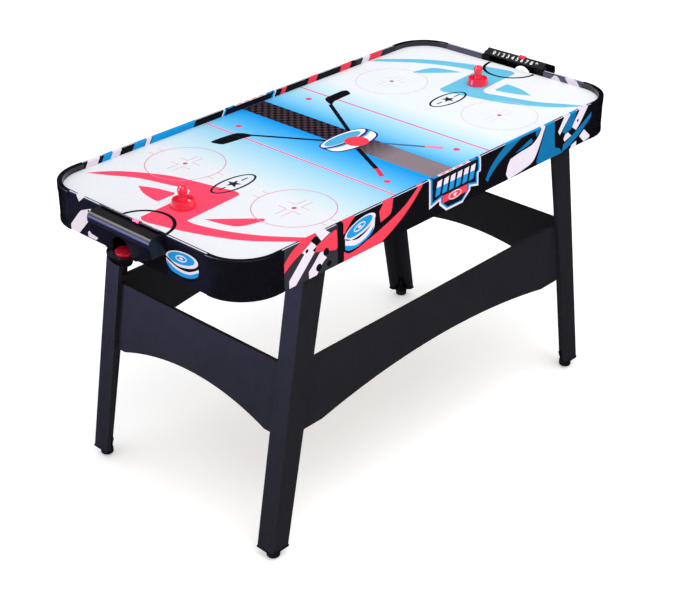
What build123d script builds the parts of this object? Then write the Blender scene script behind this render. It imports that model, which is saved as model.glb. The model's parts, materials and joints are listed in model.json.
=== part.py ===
"""Air hockey table: moulded-corner rink on four splayed legs, with a goal box at each end.

Millimetres, +Z up, +X along the rink towards one goal.  The origin is on the floor under
the middle of the rink.  Mirrored pieces are built once in the +X +Y quarter.
"""
import os
from math import atan2, cos, degrees, radians, sin, sqrt

from build123d import *

# ---------------------------------------------------------------- driving dimensions
LENGTH = 1378.0            # outer faces of the end aprons
WIDTH = 684.0              # outer faces of the side aprons
RAIL_TOP = 811.0
APRON_HEIGHT = 97.0
WALL = 11.0                # apron thickness
RAIL_ABOVE_FIELD = 14.5
FIELD_THICK = 4.0
CORNER_LENGTH = 123.0      # corner moulding measured along X
CORNER_WIDTH = 109.0       # corner moulding measured along Y
CORNER_RADIUS = 105.0
LEG_PANEL = 12.0
LEG_SPLAY = 9.74           # degrees, in X only
STRETCHER_TOP = 487.0
STRETCHER_ARCH = 355.0     # underside at mid span
STRETCHER_FOOT = 312.0     # underside at the ends
GOAL_WIDTH = 160.0
PUCK_RADIUS = 25.4
PUCK_THICK = 5.0
FAN_X = 150.0
SWITCH_X = 250.0

# ---------------------------------------------------------------- worked out
HALF_L = LENGTH / 2
HALF_W = WIDTH / 2
APRON_BOTTOM = RAIL_TOP - APRON_HEIGHT
FIELD_TOP = RAIL_TOP - RAIL_ABOVE_FIELD
FIELD_UNDER = FIELD_TOP - FIELD_THICK
SEAM_X = HALF_L - CORNER_LENGTH
SEAM_Y = HALF_W - CORNER_WIDTH
SLOPE = sin(radians(LEG_SPLAY)) / cos(radians(LEG_SPLAY))
FIT = 0.05                 # radial clearance of running and screw fits
FIELD_GAP = 0.3            # all round the loose boards

PLENUM_DEPTH = 40.0
PLENUM_FLOOR = FIELD_UNDER - PLENUM_DEPTH
PLENUM_THICK = 3.0
PLENUM_UNDER = PLENUM_FLOOR - PLENUM_THICK

os.makedirs("parts", exist_ok=True)


def save(shape, name):
    """Label one finished piece and write it."""
    shape.label = name
    export_step(shape, f"parts/{name}.step")


def save_ends(shape, name):
    """Write a piece of the +X end, and its twin turned half a turn for the -X end."""
    save(shape, f"{name}_right")
    save(shape.rotate(Axis.Z, 180), f"{name}_left")


def save_sides(shape, name):
    """Write a piece of the +Y side, and its mirror image on the -Y side."""
    save(shape, f"{name}_rear")
    save(mirror(shape, about=Plane.XZ), f"{name}_front")


def save_corners(shape, name):
    """Write a piece of the +X +Y corner and its three mirror images."""
    for end, at_end in (("right", shape), ("left", mirror(shape, about=Plane.YZ))):
        save(at_end, f"{name}_{end}_rear")
        save(mirror(at_end, about=Plane.XZ), f"{name}_{end}_front")


# ================================================================ rink frame
LEG_BOLT_X = (438.0, 462.0)
LEG_BOLT_Z = 731.0
LEG_BOLT_RADIUS = 3.0
INSERT_DEPTH = 8.0
SWITCH_Z = 735.0
SWITCH_HOLE = (19.4, 13.2)
BEZEL = (22.0, 16.0)
BEZEL_THICK = 1.5
JACK_X = SWITCH_X + 32.0
JACK_BODY_RADIUS = 5.0
EDGE_ROUND = 1.5


def side_apron(is_rear):
    """Long apron with blind holes for the leg bolts; the rear one also holds the switch."""
    with BuildPart() as apron:
        with BuildSketch(Plane.XY.offset(APRON_BOTTOM)):
            with Locations((0, HALF_W - WALL / 2)):
                Rectangle(2 * SEAM_X, WALL)
        extrude(amount=APRON_HEIGHT)
        fillet(apron.edges().filter_by(Axis.X).group_by(Axis.Z)[-1], EDGE_ROUND)
        inner_face = Plane(origin=(0, HALF_W - WALL, LEG_BOLT_Z), x_dir=(1, 0, 0), z_dir=(0, -1, 0))
        with BuildSketch(inner_face):
            with Locations(*[(side * x, 0) for side in (-1, 1) for x in LEG_BOLT_X]):
                Circle(LEG_BOLT_RADIUS + FIT)
        extrude(amount=-INSERT_DEPTH, mode=Mode.SUBTRACT)
        if is_rear:
            outer_face = Plane(origin=(0, HALF_W, SWITCH_Z), x_dir=(-1, 0, 0), z_dir=(0, 1, 0))
            with BuildSketch(outer_face):
                with Locations((-SWITCH_X, 0)):
                    Rectangle(*SWITCH_HOLE)
                with Locations((-JACK_X, 0)):
                    Circle(JACK_BODY_RADIUS + FIT)
            extrude(amount=-WALL, mode=Mode.SUBTRACT)
    return apron.part


save(side_apron(True), "side_apron_rear")
save(mirror(side_apron(False), about=Plane.XZ), "side_apron_front")

MOUTH_SILL = FIELD_TOP - 6.5
BOX_SCREW_Y = 97.0
BOX_SCREW_Z = 782.0
SCREW_RADIUS = 2.0

with BuildPart() as end_apron:
    with BuildSketch(Plane.XY.offset(APRON_BOTTOM)):
        with Locations((HALF_L - WALL / 2, 0)):
            Rectangle(WALL, 2 * SEAM_Y)
    extrude(amount=APRON_HEIGHT)
    fillet(end_apron.edges().filter_by(Axis.Y).group_by(Axis.Z)[-1], EDGE_ROUND)
    with BuildSketch(Plane.XY.offset(MOUTH_SILL)):
        with Locations((HALF_L - WALL / 2, 0)):
            Rectangle(2 * WALL, GOAL_WIDTH)
    extrude(amount=RAIL_TOP - MOUTH_SILL, mode=Mode.SUBTRACT)
    with BuildSketch(Plane(origin=(HALF_L, 0, BOX_SCREW_Z), x_dir=(0, 1, 0), z_dir=(1, 0, 0))):
        with Locations((-BOX_SCREW_Y, 0), (BOX_SCREW_Y, 0)):
            Circle(SCREW_RADIUS + FIT)
    extrude(amount=-WALL, mode=Mode.SUBTRACT)
save_ends(end_apron.part, "end_apron")


def corner_band(outside, inside):
    """Plan outline of the corner moulding between two offsets from the table's outline."""
    centre = (HALF_L - CORNER_RADIUS, HALF_W - CORNER_RADIUS)
    with BuildSketch() as band:
        with BuildLine():
            outer_arc = CenterArc(centre, CORNER_RADIUS + outside, 0, 90)
            inner_arc = CenterArc(centre, CORNER_RADIUS - inside, 0, 90)
            Polyline(outer_arc @ 1, (SEAM_X, HALF_W + outside), (SEAM_X, HALF_W - inside), inner_arc @ 1)
            Polyline(outer_arc @ 0, (HALF_L + outside, SEAM_Y), (HALF_L - inside, SEAM_Y), inner_arc @ 0)
        make_face()
    return band.sketch


SKIN_PROUD = 0.8
LIP_PROUD = 1.8
LIP_HEIGHT = 20.0
BEAD_HEIGHT = 8.0
SKIN = 3.0

with BuildPart() as corner:
    with BuildSketch(Plane.XY.offset(APRON_BOTTOM)):
        add(corner_band(SKIN_PROUD, WALL))
    extrude(amount=APRON_HEIGHT)
    with BuildSketch(Plane.XY.offset(RAIL_TOP - LIP_HEIGHT)):
        add(corner_band(LIP_PROUD, WALL))
    extrude(amount=LIP_HEIGHT)
    with BuildSketch(Plane.XY.offset(APRON_BOTTOM)):
        add(corner_band(LIP_PROUD, WALL))
    extrude(amount=BEAD_HEIGHT)
    fillet(corner.faces().sort_by(Axis.Z)[-1].edges().filter_by(GeomType.CIRCLE), EDGE_ROUND)
    with BuildSketch(Plane.XY.offset(APRON_BOTTOM)):
        add(corner_band(-SKIN, WALL - SKIN))
    extrude(amount=APRON_HEIGHT - SKIN, mode=Mode.SUBTRACT)
save_corners(corner.part, "corner")

HOLE_PITCH = 50.8
HOLE_COUNT_X = 25
HOLE_COUNT_Y = 12
AIR_HOLE_RADIUS = 0.8

with BuildPart() as playfield:
    with BuildSketch(Plane.XY.offset(FIELD_UNDER)):
        RectangleRounded(
            LENGTH - 2 * (WALL + FIELD_GAP),
            WIDTH - 2 * (WALL + FIELD_GAP),
            CORNER_RADIUS - WALL - FIELD_GAP,
        )
        with GridLocations(HOLE_PITCH, HOLE_PITCH, HOLE_COUNT_X, HOLE_COUNT_Y):
            Circle(AIR_HOLE_RADIUS, mode=Mode.SUBTRACT)
    extrude(amount=FIELD_THICK)
save(playfield.part, "playfield")

# ---------------------------------------------------------------- plenum under the field
BATTEN = 18.0
LEDGER_HALF = 530.0
END_LEDGER_HALF = 85.0
RIB_SPACING = 330.0
RIB_LENGTH = 420.0
FAN_THROAT_RADIUS = 55.0

with BuildPart() as side_ledger:
    with BuildSketch(Plane.XY.offset(PLENUM_FLOOR)):
        with Locations((0, HALF_W - WALL - BATTEN / 2)):
            Rectangle(2 * LEDGER_HALF, BATTEN)
    extrude(amount=PLENUM_DEPTH)
save_sides(side_ledger.part, "side_ledger")

with BuildPart() as end_ledger:
    with BuildSketch(Plane.XY.offset(PLENUM_FLOOR)):
        with Locations((HALF_L - WALL - BATTEN / 2, 0)):
            Rectangle(BATTEN, 2 * END_LEDGER_HALF)
    extrude(amount=PLENUM_DEPTH)
save_ends(end_ledger.part, "end_ledger")

with BuildPart() as field_ribs:
    with BuildSketch(Plane.XY.offset(PLENUM_FLOOR)):
        with GridLocations(RIB_SPACING, 1, 3, 1):
            Rectangle(BATTEN, RIB_LENGTH)
    extrude(amount=PLENUM_DEPTH)
save(field_ribs.part, "field_ribs")

with BuildPart() as plenum_panel:
    with BuildSketch(Plane.XY.offset(PLENUM_UNDER)):
        RectangleRounded(
            LENGTH - 2 * (WALL + FIELD_GAP),
            WIDTH - 2 * (WALL + FIELD_GAP),
            CORNER_RADIUS - WALL - FIELD_GAP,
        )
        with Locations((FAN_X, 0)):
            Circle(FAN_THROAT_RADIUS, mode=Mode.SUBTRACT)
    extrude(amount=PLENUM_THICK)
save(plenum_panel.part, "plenum_panel")

CLEAT_LENGTH = 30.0
CLEAT_NARROW = 7.0
CLEAT_HEIGHT = 26.0
CLEAT_THICK = 2.0
CLEAT_Z = 772.0

with BuildPart() as corner_cleats:
    side_face = Plane(origin=(0, HALF_W - WALL, CLEAT_Z), x_dir=(1, 0, 0), z_dir=(0, -1, 0))
    with BuildSketch(side_face):
        with Locations((SEAM_X, 0)):
            Rectangle(CLEAT_LENGTH, CLEAT_HEIGHT)
    extrude(amount=CLEAT_THICK)
    end_face = Plane(origin=(HALF_L - WALL, 0, CLEAT_Z), x_dir=(0, 1, 0), z_dir=(-1, 0, 0))
    with BuildSketch(end_face):
        with Locations((SEAM_Y, 0)):
            Rectangle(CLEAT_NARROW, CLEAT_HEIGHT)
    extrude(amount=CLEAT_THICK)
    mirror(about=Plane.YZ)
    mirror(about=Plane.XZ)
save(corner_cleats.part, "corner_cleats")

# ================================================================ legs and stretchers
LEG_OUTER_Y = 330.5
LEG_INNER_Y = LEG_OUTER_Y - 51.0
LEG_FOOT_Z = 27.0
LEG_TOP_Z = 746.0
LEG_FOOT_OUTER_X = 611.7       # outer face at the bottom of the leg
LEG_FOOT_WIDTH = 52.0
LEG_TOP_WIDTH = 69.5
PANEL_ACROSS = LEG_PANEL / cos(radians(LEG_SPLAY))


def leg_outer_x(z):
    """X of the leg's splayed outer face at height z."""
    return LEG_FOOT_OUTER_X - SLOPE * (z - LEG_FOOT_Z)


def side_plane(y):
    """Upright plane facing -Y, in which a sketch's x and y are the table's X and Z."""
    return Plane(origin=(0, y, 0), x_dir=(1, 0, 0), z_dir=(0, -1, 0))


STRETCHER_SCREW_Z = (345.0, 460.0)
SIDE_SCREW_INSET = 24.0        # from the inner face of the leg's end panel
END_SCREW_Y = 293.0
SCREW_BITE = 9.0
SCREW_LENGTH = LEG_PANEL + SCREW_BITE
SCREW_HEAD_RADIUS = 4.2
SCREW_HEAD_THICK = 2.4
SIDE_FACE_Y = LEG_OUTER_Y - LEG_PANEL     # inner face of the leg's side panel


def inner_plane_x(z):
    """X of the inner face of the leg's end panel at height z."""
    return leg_outer_x(z) - PANEL_ACROSS


def end_plane(z):
    """Plane on the inner face of the leg's end panel, facing outward; its x is Y."""
    normal = (cos(radians(LEG_SPLAY)), 0, sin(radians(LEG_SPLAY)))
    return Plane(origin=(inner_plane_x(z), 0, z), x_dir=(0, 1, 0), z_dir=normal)


with BuildPart() as leg:
    with BuildSketch(side_plane(LEG_OUTER_Y)):
        Polygon(
            (leg_outer_x(LEG_FOOT_Z), LEG_FOOT_Z),
            (leg_outer_x(LEG_TOP_Z), LEG_TOP_Z),
            (leg_outer_x(LEG_TOP_Z) - LEG_TOP_WIDTH, LEG_TOP_Z),
            (leg_outer_x(LEG_FOOT_Z) - LEG_FOOT_WIDTH, LEG_FOOT_Z),
            align=None,
        )
    extrude(amount=LEG_PANEL)
    with BuildSketch(side_plane(LEG_OUTER_Y)):
        Polygon(
            (leg_outer_x(LEG_FOOT_Z), LEG_FOOT_Z),
            (leg_outer_x(LEG_TOP_Z), LEG_TOP_Z),
            (inner_plane_x(LEG_TOP_Z), LEG_TOP_Z),
            (inner_plane_x(LEG_FOOT_Z), LEG_FOOT_Z),
            align=None,
        )
    extrude(amount=LEG_OUTER_Y - LEG_INNER_Y)
    outer_edge = leg.edges().filter_by(lambda e: e.length > LEG_TOP_Z / 2).group_by(Axis.Y)[-1]
    fillet(outer_edge.sort_by(Axis.X)[-1], EDGE_ROUND)
    with BuildSketch(side_plane(LEG_OUTER_Y)):
        with Locations(*[(x, LEG_BOLT_Z) for x in LEG_BOLT_X]):
            Circle(LEG_BOLT_RADIUS + FIT)
    extrude(amount=LEG_PANEL, mode=Mode.SUBTRACT)
    with BuildSketch(side_plane(SIDE_FACE_Y)):
        with Locations(*[(inner_plane_x(z) - SIDE_SCREW_INSET, z) for z in STRETCHER_SCREW_Z]):
            Circle(SCREW_RADIUS + FIT)
    extrude(amount=-SCREW_BITE, mode=Mode.SUBTRACT)
    for screw_z in STRETCHER_SCREW_Z:
        with BuildSketch(end_plane(screw_z)):
            with Locations((END_SCREW_Y, 0)):
                Circle(SCREW_RADIUS + FIT)
        extrude(amount=SCREW_BITE, mode=Mode.SUBTRACT)
save_corners(leg.part, "leg")

SIDE_FACET_X = 428.0           # where the straight foot of the arch ends
END_FACET_Y = 250.0


def arch_outline(half_foot, half_top, half_facet, top, arch, foot):
    """Board outline with straight feet and one long arch underneath."""
    with BuildSketch() as board:
        with BuildLine():
            Polyline((-half_facet, foot), (-half_foot, foot), (-half_top, top), (half_top, top),
                     (half_foot, foot), (half_facet, foot))
            ThreePointArc((half_facet, foot), (0, arch), (-half_facet, foot))
        make_face()
    return board.sketch


with BuildPart() as side_stretcher:
    with BuildSketch(side_plane(SIDE_FACE_Y)):
        add(arch_outline(
            inner_plane_x(STRETCHER_FOOT) - FIELD_GAP,
            inner_plane_x(STRETCHER_TOP) - FIELD_GAP,
            SIDE_FACET_X, STRETCHER_TOP, STRETCHER_ARCH, STRETCHER_FOOT,
        ))
        for screw_z in STRETCHER_SCREW_Z:
            screw_x = inner_plane_x(screw_z) - SIDE_SCREW_INSET
            with Locations((-screw_x, screw_z), (screw_x, screw_z)):
                Circle(SCREW_RADIUS + FIT, mode=Mode.SUBTRACT)
    extrude(amount=LEG_PANEL)
save_sides(side_stretcher.part, "side_stretcher")

SLANT = 1 / cos(radians(LEG_SPLAY))
END_BOARD_HALF = SIDE_FACE_Y - LEG_PANEL - FIELD_GAP

with BuildPart() as end_stretcher:
    with BuildSketch(end_plane(0)):
        add(arch_outline(
            END_BOARD_HALF, END_BOARD_HALF, END_FACET_Y,
            STRETCHER_TOP * SLANT, STRETCHER_ARCH * SLANT, STRETCHER_FOOT * SLANT,
        ))
        with Locations(*[(side * END_SCREW_Y, z * SLANT) for side in (-1, 1) for z in STRETCHER_SCREW_Z]):
            Circle(SCREW_RADIUS + FIT, mode=Mode.SUBTRACT)
    extrude(amount=-LEG_PANEL)
save_ends(end_stretcher.part, "end_stretcher")

with BuildPart() as stretcher_screws:
    for screw_z in STRETCHER_SCREW_Z:
        side_at = (inner_plane_x(screw_z) - SIDE_SCREW_INSET, screw_z)
        with BuildSketch(side_plane(SIDE_FACE_Y - LEG_PANEL)):
            with Locations(side_at):
                Circle(SCREW_RADIUS)
        extrude(amount=-SCREW_LENGTH)
        with BuildSketch(side_plane(SIDE_FACE_Y - LEG_PANEL)):
            with Locations(side_at):
                Circle(SCREW_HEAD_RADIUS)
        extrude(amount=SCREW_HEAD_THICK)
        board_back = end_plane(screw_z).offset(-LEG_PANEL)
        with BuildSketch(board_back):
            with Locations((END_SCREW_Y, 0)):
                Circle(SCREW_RADIUS)
        extrude(amount=SCREW_LENGTH)
        with BuildSketch(board_back):
            with Locations((END_SCREW_Y, 0)):
                Circle(SCREW_HEAD_RADIUS)
        extrude(amount=-SCREW_HEAD_THICK)
    mirror(about=Plane.YZ)
    mirror(about=Plane.XZ)
save(stretcher_screws.part, "stretcher_screws")

# ---------------------------------------------------------------- leg tops
BLOCK_DEPTH = 38.0
BLOCK_X = (426.0, 473.5)
BLOCK_BOTTOM = 716.0
BOLT_HEAD_RADIUS = 5.5
BOLT_HEAD_THICK = 4.0
BOLT_TIP_GAP = 1.0
BLOCK_Y = SIDE_FACE_Y - BLOCK_DEPTH

with BuildPart() as leg_blocks:
    with BuildSketch(side_plane(SIDE_FACE_Y)):
        with Locations(((BLOCK_X[0] + BLOCK_X[1]) / 2, (BLOCK_BOTTOM + PLENUM_UNDER) / 2)):
            Rectangle(BLOCK_X[1] - BLOCK_X[0], PLENUM_UNDER - BLOCK_BOTTOM)
        with Locations(*[(x, LEG_BOLT_Z) for x in LEG_BOLT_X]):
            Circle(LEG_BOLT_RADIUS + FIT, mode=Mode.SUBTRACT)
    extrude(amount=BLOCK_DEPTH)
    mirror(about=Plane.YZ)
    mirror(about=Plane.XZ)
save(leg_blocks.part, "leg_blocks")

with BuildPart() as leg_bolts:
    with BuildSketch(side_plane(BLOCK_Y)):
        with Locations(*[(x, LEG_BOLT_Z) for x in LEG_BOLT_X]):
            Circle(LEG_BOLT_RADIUS)
    extrude(amount=-(HALF_W - WALL - BLOCK_Y + INSERT_DEPTH - BOLT_TIP_GAP))
    with BuildSketch(side_plane(BLOCK_Y)):
        with Locations(*[(x, LEG_BOLT_Z) for x in LEG_BOLT_X]):
            RegularPolygon(BOLT_HEAD_RADIUS, 6)
    extrude(amount=BOLT_HEAD_THICK)
    mirror(about=Plane.YZ)
    mirror(about=Plane.XZ)
save(leg_bolts.part, "leg_bolts")

# ---------------------------------------------------------------- leg caps and levelling feet
FOOT_X = 588.5
FOOT_Y = 309.0
CAP_PROUD = 1.2
CAP_THICK = 5.0
CAP_ARM = LEG_PANEL + 2 * CAP_PROUD
CAP_BOTTOM = LEG_FOOT_Z - CAP_THICK
BOSS_RADIUS = 7.0
BOSS_HEIGHT = 18.0
COLLAR_RADIUS = 11.5
STUD_RADIUS = 4.0
PAD_RADIUS = 16.5
PAD_HEIGHT = 17.0
PAD_ROUND = 5.0
NECK_RADIUS = 7.0

with BuildPart() as leg_cap:
    with BuildSketch(Plane.XY.offset(CAP_BOTTOM)):
        cap_x = (LEG_FOOT_OUTER_X - LEG_FOOT_WIDTH - CAP_PROUD, LEG_FOOT_OUTER_X + CAP_PROUD)
        cap_y = (LEG_INNER_Y - CAP_PROUD, LEG_OUTER_Y + CAP_PROUD)
        with Locations((sum(cap_x) / 2, cap_y[1] - CAP_ARM / 2)):
            Rectangle(cap_x[1] - cap_x[0], CAP_ARM)
        with Locations((cap_x[1] - CAP_ARM / 2, sum(cap_y) / 2)):
            Rectangle(CAP_ARM, cap_y[1] - cap_y[0])
        Polygon(
            (cap_x[0], cap_y[1] - CAP_ARM),
            (cap_x[1] - CAP_ARM, cap_y[1] - CAP_ARM),
            (cap_x[1] - CAP_ARM, cap_y[0]),
            align=None,
        )
        with Locations((FOOT_X, FOOT_Y)):
            Circle(COLLAR_RADIUS)
    extrude(amount=CAP_THICK)
    fillet(leg_cap.edges().filter_by(Axis.Z).sort_by(SortBy.DISTANCE)[-1], EDGE_ROUND)
    with BuildSketch(Plane.XY.offset(LEG_FOOT_Z)):
        with Locations((FOOT_X, FOOT_Y)):
            Circle(BOSS_RADIUS)
    extrude(amount=BOSS_HEIGHT)
    with BuildSketch(Plane.XY.offset(CAP_BOTTOM)):
        with Locations((FOOT_X, FOOT_Y)):
            Circle(STUD_RADIUS + FIT)
    extrude(amount=CAP_THICK + BOSS_HEIGHT, mode=Mode.SUBTRACT)
save_corners(leg_cap.part, "leg_cap")

with BuildPart() as leveller:
    with BuildSketch(Plane.XY):
        with Locations((FOOT_X, FOOT_Y)):
            Circle(PAD_RADIUS)
    extrude(amount=PAD_HEIGHT)
    fillet(leveller.edges().filter_by(GeomType.CIRCLE).sort_by(Axis.Z)[0], PAD_ROUND)
    fillet(leveller.edges().filter_by(GeomType.CIRCLE).sort_by(Axis.Z)[-1], EDGE_ROUND)
    with BuildSketch(Plane.XY.offset(PAD_HEIGHT)):
        with Locations((FOOT_X, FOOT_Y)):
            Circle(NECK_RADIUS)
    extrude(amount=CAP_BOTTOM - PAD_HEIGHT - FIELD_GAP)
    with BuildSketch(Plane.XY.offset(PAD_HEIGHT)):
        with Locations((FOOT_X, FOOT_Y)):
            Circle(STUD_RADIUS)
    extrude(amount=LEG_FOOT_Z + BOSS_HEIGHT + PAD_ROUND - PAD_HEIGHT)
save_corners(leveller.part, "leveller")

# ================================================================ goal boxes
BOX_HALF = 105.0
BOX_SHELL = 2.5
BOX_FLOOR = 742.0
BOX_END_FLOOR = 768.0
BOX_FLOOR_HALF = 45.0
BOX_RAIL_REST = RAIL_TOP + FIELD_GAP
OVERHANG_X = HALF_L - 5.5
RIDGE = (HALF_L + 5.0, RAIL_TOP + 7.5)
NOSE_TOP = (HALF_L + 35.0, RAIL_TOP + 4.5)
NOSE_X = HALF_L + 47.0
NOSE_LOW_Z = 794.0
NOSE_HIGH_Z = 804.0
WALL_TOP = (HALF_L + 42.5, 790.0)
WALL_LOW_X = HALF_L + 38.0
CAVITY_TOP = 803.0
ARCH_RADIUS = 31.0
ARCH_Z = 756.0
BOSS_WIDTH = 11.0
BOSS_SIDE = 15.0               # height of the boss, and how far it stands off the apron
NOSE_SWELL = (3.6, 8.2)        # how far the nose's top round bulges
CUT_OVER = 1.0                 # cuts run this far past the faces that they open
CAVITY_SHOULDER_X = HALF_L + 12.0
CAVITY_BACK_Z = RAIL_TOP + 4.0
ARCH_START_X = HALF_L + 20.0

with BuildPart() as goal_housing:
    with BuildSketch(side_plane(BOX_HALF)):
        with BuildLine():
            Polyline(NOSE_TOP, RIDGE, (OVERHANG_X, BOX_RAIL_REST), (HALF_L, BOX_RAIL_REST),
                     (HALF_L, BOX_FLOOR), (WALL_LOW_X, BOX_FLOOR), WALL_TOP, (NOSE_X, NOSE_LOW_Z),
                     (NOSE_X, NOSE_HIGH_Z))
            ThreePointArc((NOSE_X, NOSE_HIGH_Z), (NOSE_X - NOSE_SWELL[0], NOSE_HIGH_Z + NOSE_SWELL[1]), NOSE_TOP)
        make_face()
    extrude(amount=2 * BOX_HALF)
    fillet(goal_housing.edges().filter_by(Axis.Y).group_by(Axis.X)[-1], EDGE_ROUND)
    with BuildSketch(side_plane(BOX_HALF - BOX_SHELL)):
        Polygon((HALF_L - CUT_OVER, BOX_FLOOR + BOX_SHELL), (WALL_LOW_X - BOX_SHELL, BOX_FLOOR + BOX_SHELL),
                (WALL_TOP[0] - BOX_SHELL, WALL_TOP[1]), (WALL_TOP[0] - BOX_SHELL, CAVITY_TOP),
                (CAVITY_SHOULDER_X, RAIL_TOP - CUT_OVER), (HALF_L - CUT_OVER, CAVITY_BACK_Z), align=None)
    extrude(amount=2 * (BOX_HALF - BOX_SHELL), mode=Mode.SUBTRACT)
    for side in (-1, 1):
        with BuildSketch(Plane(origin=(HALF_L, 0, 0), x_dir=(0, 1, 0), z_dir=(1, 0, 0))):
            Polygon((side * (BOX_HALF - BOX_SHELL), BOX_END_FLOOR + BOX_SHELL),
                    (side * BOX_FLOOR_HALF, BOX_FLOOR + BOX_SHELL),
                    (side * BOX_FLOOR_HALF, BOX_FLOOR), (side * BOX_HALF, BOX_END_FLOOR),
                    (side * BOX_HALF, BOX_END_FLOOR + 2 * BOX_SHELL), align=None)
        extrude(amount=WALL_TOP[0] - BOX_SHELL - HALF_L)
        with BuildSketch(Plane(origin=(HALF_L, 0, 0), x_dir=(0, 1, 0), z_dir=(1, 0, 0))):
            with Locations((side * (BOX_HALF - BOX_SHELL - BOSS_WIDTH / 2), BOX_SCREW_Z)):
                Rectangle(BOSS_WIDTH, BOSS_SIDE)
        extrude(amount=BOSS_SIDE)
        with BuildSketch(Plane(origin=(HALF_L, 0, 0), x_dir=(0, 1, 0), z_dir=(1, 0, 0))):
            Polygon((side * BOX_FLOOR_HALF, BOX_FLOOR), (side * BOX_HALF, BOX_END_FLOOR),
                    (side * (BOX_HALF + CUT_OVER), BOX_FLOOR - CUT_OVER),
                    (side * BOX_FLOOR_HALF, BOX_FLOOR - CUT_OVER),
                    align=None)
        extrude(amount=NOSE_X - HALF_L, mode=Mode.SUBTRACT)
    with BuildSketch(Plane(origin=(HALF_L, 0, 0), x_dir=(0, 1, 0), z_dir=(1, 0, 0))):
        with Locations((-BOX_SCREW_Y, BOX_SCREW_Z), (BOX_SCREW_Y, BOX_SCREW_Z)):
            Circle(SCREW_RADIUS + FIT)
    extrude(amount=SCREW_BITE + CUT_OVER, mode=Mode.SUBTRACT)
    with BuildSketch(Plane(origin=(ARCH_START_X, 0, 0), x_dir=(0, 1, 0), z_dir=(1, 0, 0))):
        with Locations((0, ARCH_Z)):
            Circle(ARCH_RADIUS)
        with Locations((0, (BOX_FLOOR + BOX_SHELL + ARCH_Z) / 2)):
            Rectangle(2 * ARCH_RADIUS, ARCH_Z - BOX_FLOOR - BOX_SHELL)
        with Locations((0, BOX_FLOOR + BOX_SHELL - ARCH_RADIUS)):
            Rectangle(2 * ARCH_RADIUS + CUT_OVER, 2 * ARCH_RADIUS, mode=Mode.SUBTRACT)
    extrude(amount=NOSE_X - HALF_L, mode=Mode.SUBTRACT)
save_ends(goal_housing.part, "goal_housing")

with BuildPart() as goal_box_screws:
    with BuildSketch(Plane(origin=(HALF_L - WALL, 0, BOX_SCREW_Z), x_dir=(0, 1, 0), z_dir=(1, 0, 0))):
        with Locations((-BOX_SCREW_Y, 0), (BOX_SCREW_Y, 0)):
            Circle(SCREW_RADIUS)
    extrude(amount=WALL + SCREW_BITE)
    with BuildSketch(Plane(origin=(HALF_L - WALL, 0, BOX_SCREW_Z), x_dir=(0, 1, 0), z_dir=(1, 0, 0))):
        with Locations((-BOX_SCREW_Y, 0), (BOX_SCREW_Y, 0)):
            Circle(SCREW_HEAD_RADIUS)
    extrude(amount=-SCREW_HEAD_THICK)
    mirror(about=Plane.YZ)
save(goal_box_screws.part, "goal_box_screws")

# ---------------------------------------------------------------- puck tray
TRAY_RIM_Z = 748.0
TRAY_FLOOR_Z = BOX_FLOOR + BOX_SHELL
TRAY_LIP_Z = TRAY_FLOOR_Z + 1.6
TRAY_REACH = 28.0
TRAY_HALF = 42.0
TRAY_DEPTH = 26.0
TRAY_WALL = 2.5
TRAY_SEAT = 28.0               # how much of the bowl the goal box's own floor takes up
TRAY_X = HALF_L + 39.0
LIP_DIP_HALF = 24.0
BOWL = ((0, 1.0), (0.4, 0.93), (0.8, 0.72), (1.0, 0.45))   # share of the depth, share of the rim

with BuildPart() as goal_tray:
    for depth, share in BOWL:
        with BuildSketch(Plane.XY.offset(TRAY_RIM_Z - depth * TRAY_DEPTH)):
            with Locations((TRAY_X, 0)):
                Ellipse(TRAY_REACH * share, TRAY_HALF * share)
    loft()
    with BuildSketch(Plane.XY.offset(TRAY_FLOOR_Z)):
        with Locations((TRAY_X, 0)):
            Ellipse(TRAY_REACH - TRAY_WALL, TRAY_HALF - TRAY_WALL)
    extrude(amount=TRAY_RIM_Z - TRAY_FLOOR_Z, mode=Mode.SUBTRACT)
    with BuildSketch(Plane.XY.offset(TRAY_LIP_Z)):
        with Locations((TRAY_X + TRAY_REACH / 2, 0)):
            Rectangle(TRAY_REACH + 2 * CUT_OVER, 2 * LIP_DIP_HALF)
    extrude(amount=TRAY_RIM_Z - TRAY_LIP_Z, mode=Mode.SUBTRACT)
    with BuildSketch(Plane.XY.offset(BOX_FLOOR - TRAY_DEPTH)):
        with Locations((TRAY_X - TRAY_REACH + TRAY_SEAT / 2, 0)):
            Rectangle(TRAY_SEAT + 4 * CUT_OVER, 2 * (TRAY_HALF + CUT_OVER))
    extrude(amount=2 * TRAY_DEPTH, mode=Mode.SUBTRACT)
save_ends(goal_tray.part, "goal_tray")

# ---------------------------------------------------------------- scorer
PLATE_RUN = RIDGE[0] - OVERHANG_X
PLATE_RISE = RIDGE[1] - BOX_RAIL_REST
PLATE_TILT = degrees(atan2(PLATE_RISE, PLATE_RUN))
PLATE_WIDE = 24.0              # up the slope
PLATE_THICK = 2.5
PLATE_HALF = 100.0
SLIDER_GAP = 0.35
SLIDER_WALL = 2.0
SLIDER_WIDTH = 21.0
SLIDER_FRONT = 8.0
SLIDER_BACK = 4.5
SLIDER_START = {"right": -19.0, "left": -27.0}


def scorer_section(y):
    """Plane across the scorer: x runs up the slope, y stands square off the number face."""
    up_slope = (cos(radians(PLATE_TILT)), 0, sin(radians(PLATE_TILT)))
    return Plane(origin=(OVERHANG_X, y, BOX_RAIL_REST), x_dir=up_slope, z_dir=(0, -1, 0))


with BuildPart() as number_plate:
    with BuildSketch(scorer_section(PLATE_HALF)):
        Rectangle(PLATE_WIDE, PLATE_THICK, align=(Align.MIN, Align.MIN))
    extrude(amount=2 * PLATE_HALF)
    fillet(number_plate.edges().filter_by(Axis.Y).group_by(Axis.Z)[-1], PLATE_THICK / 4)
save_ends(number_plate.part, "number_plate")


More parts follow.
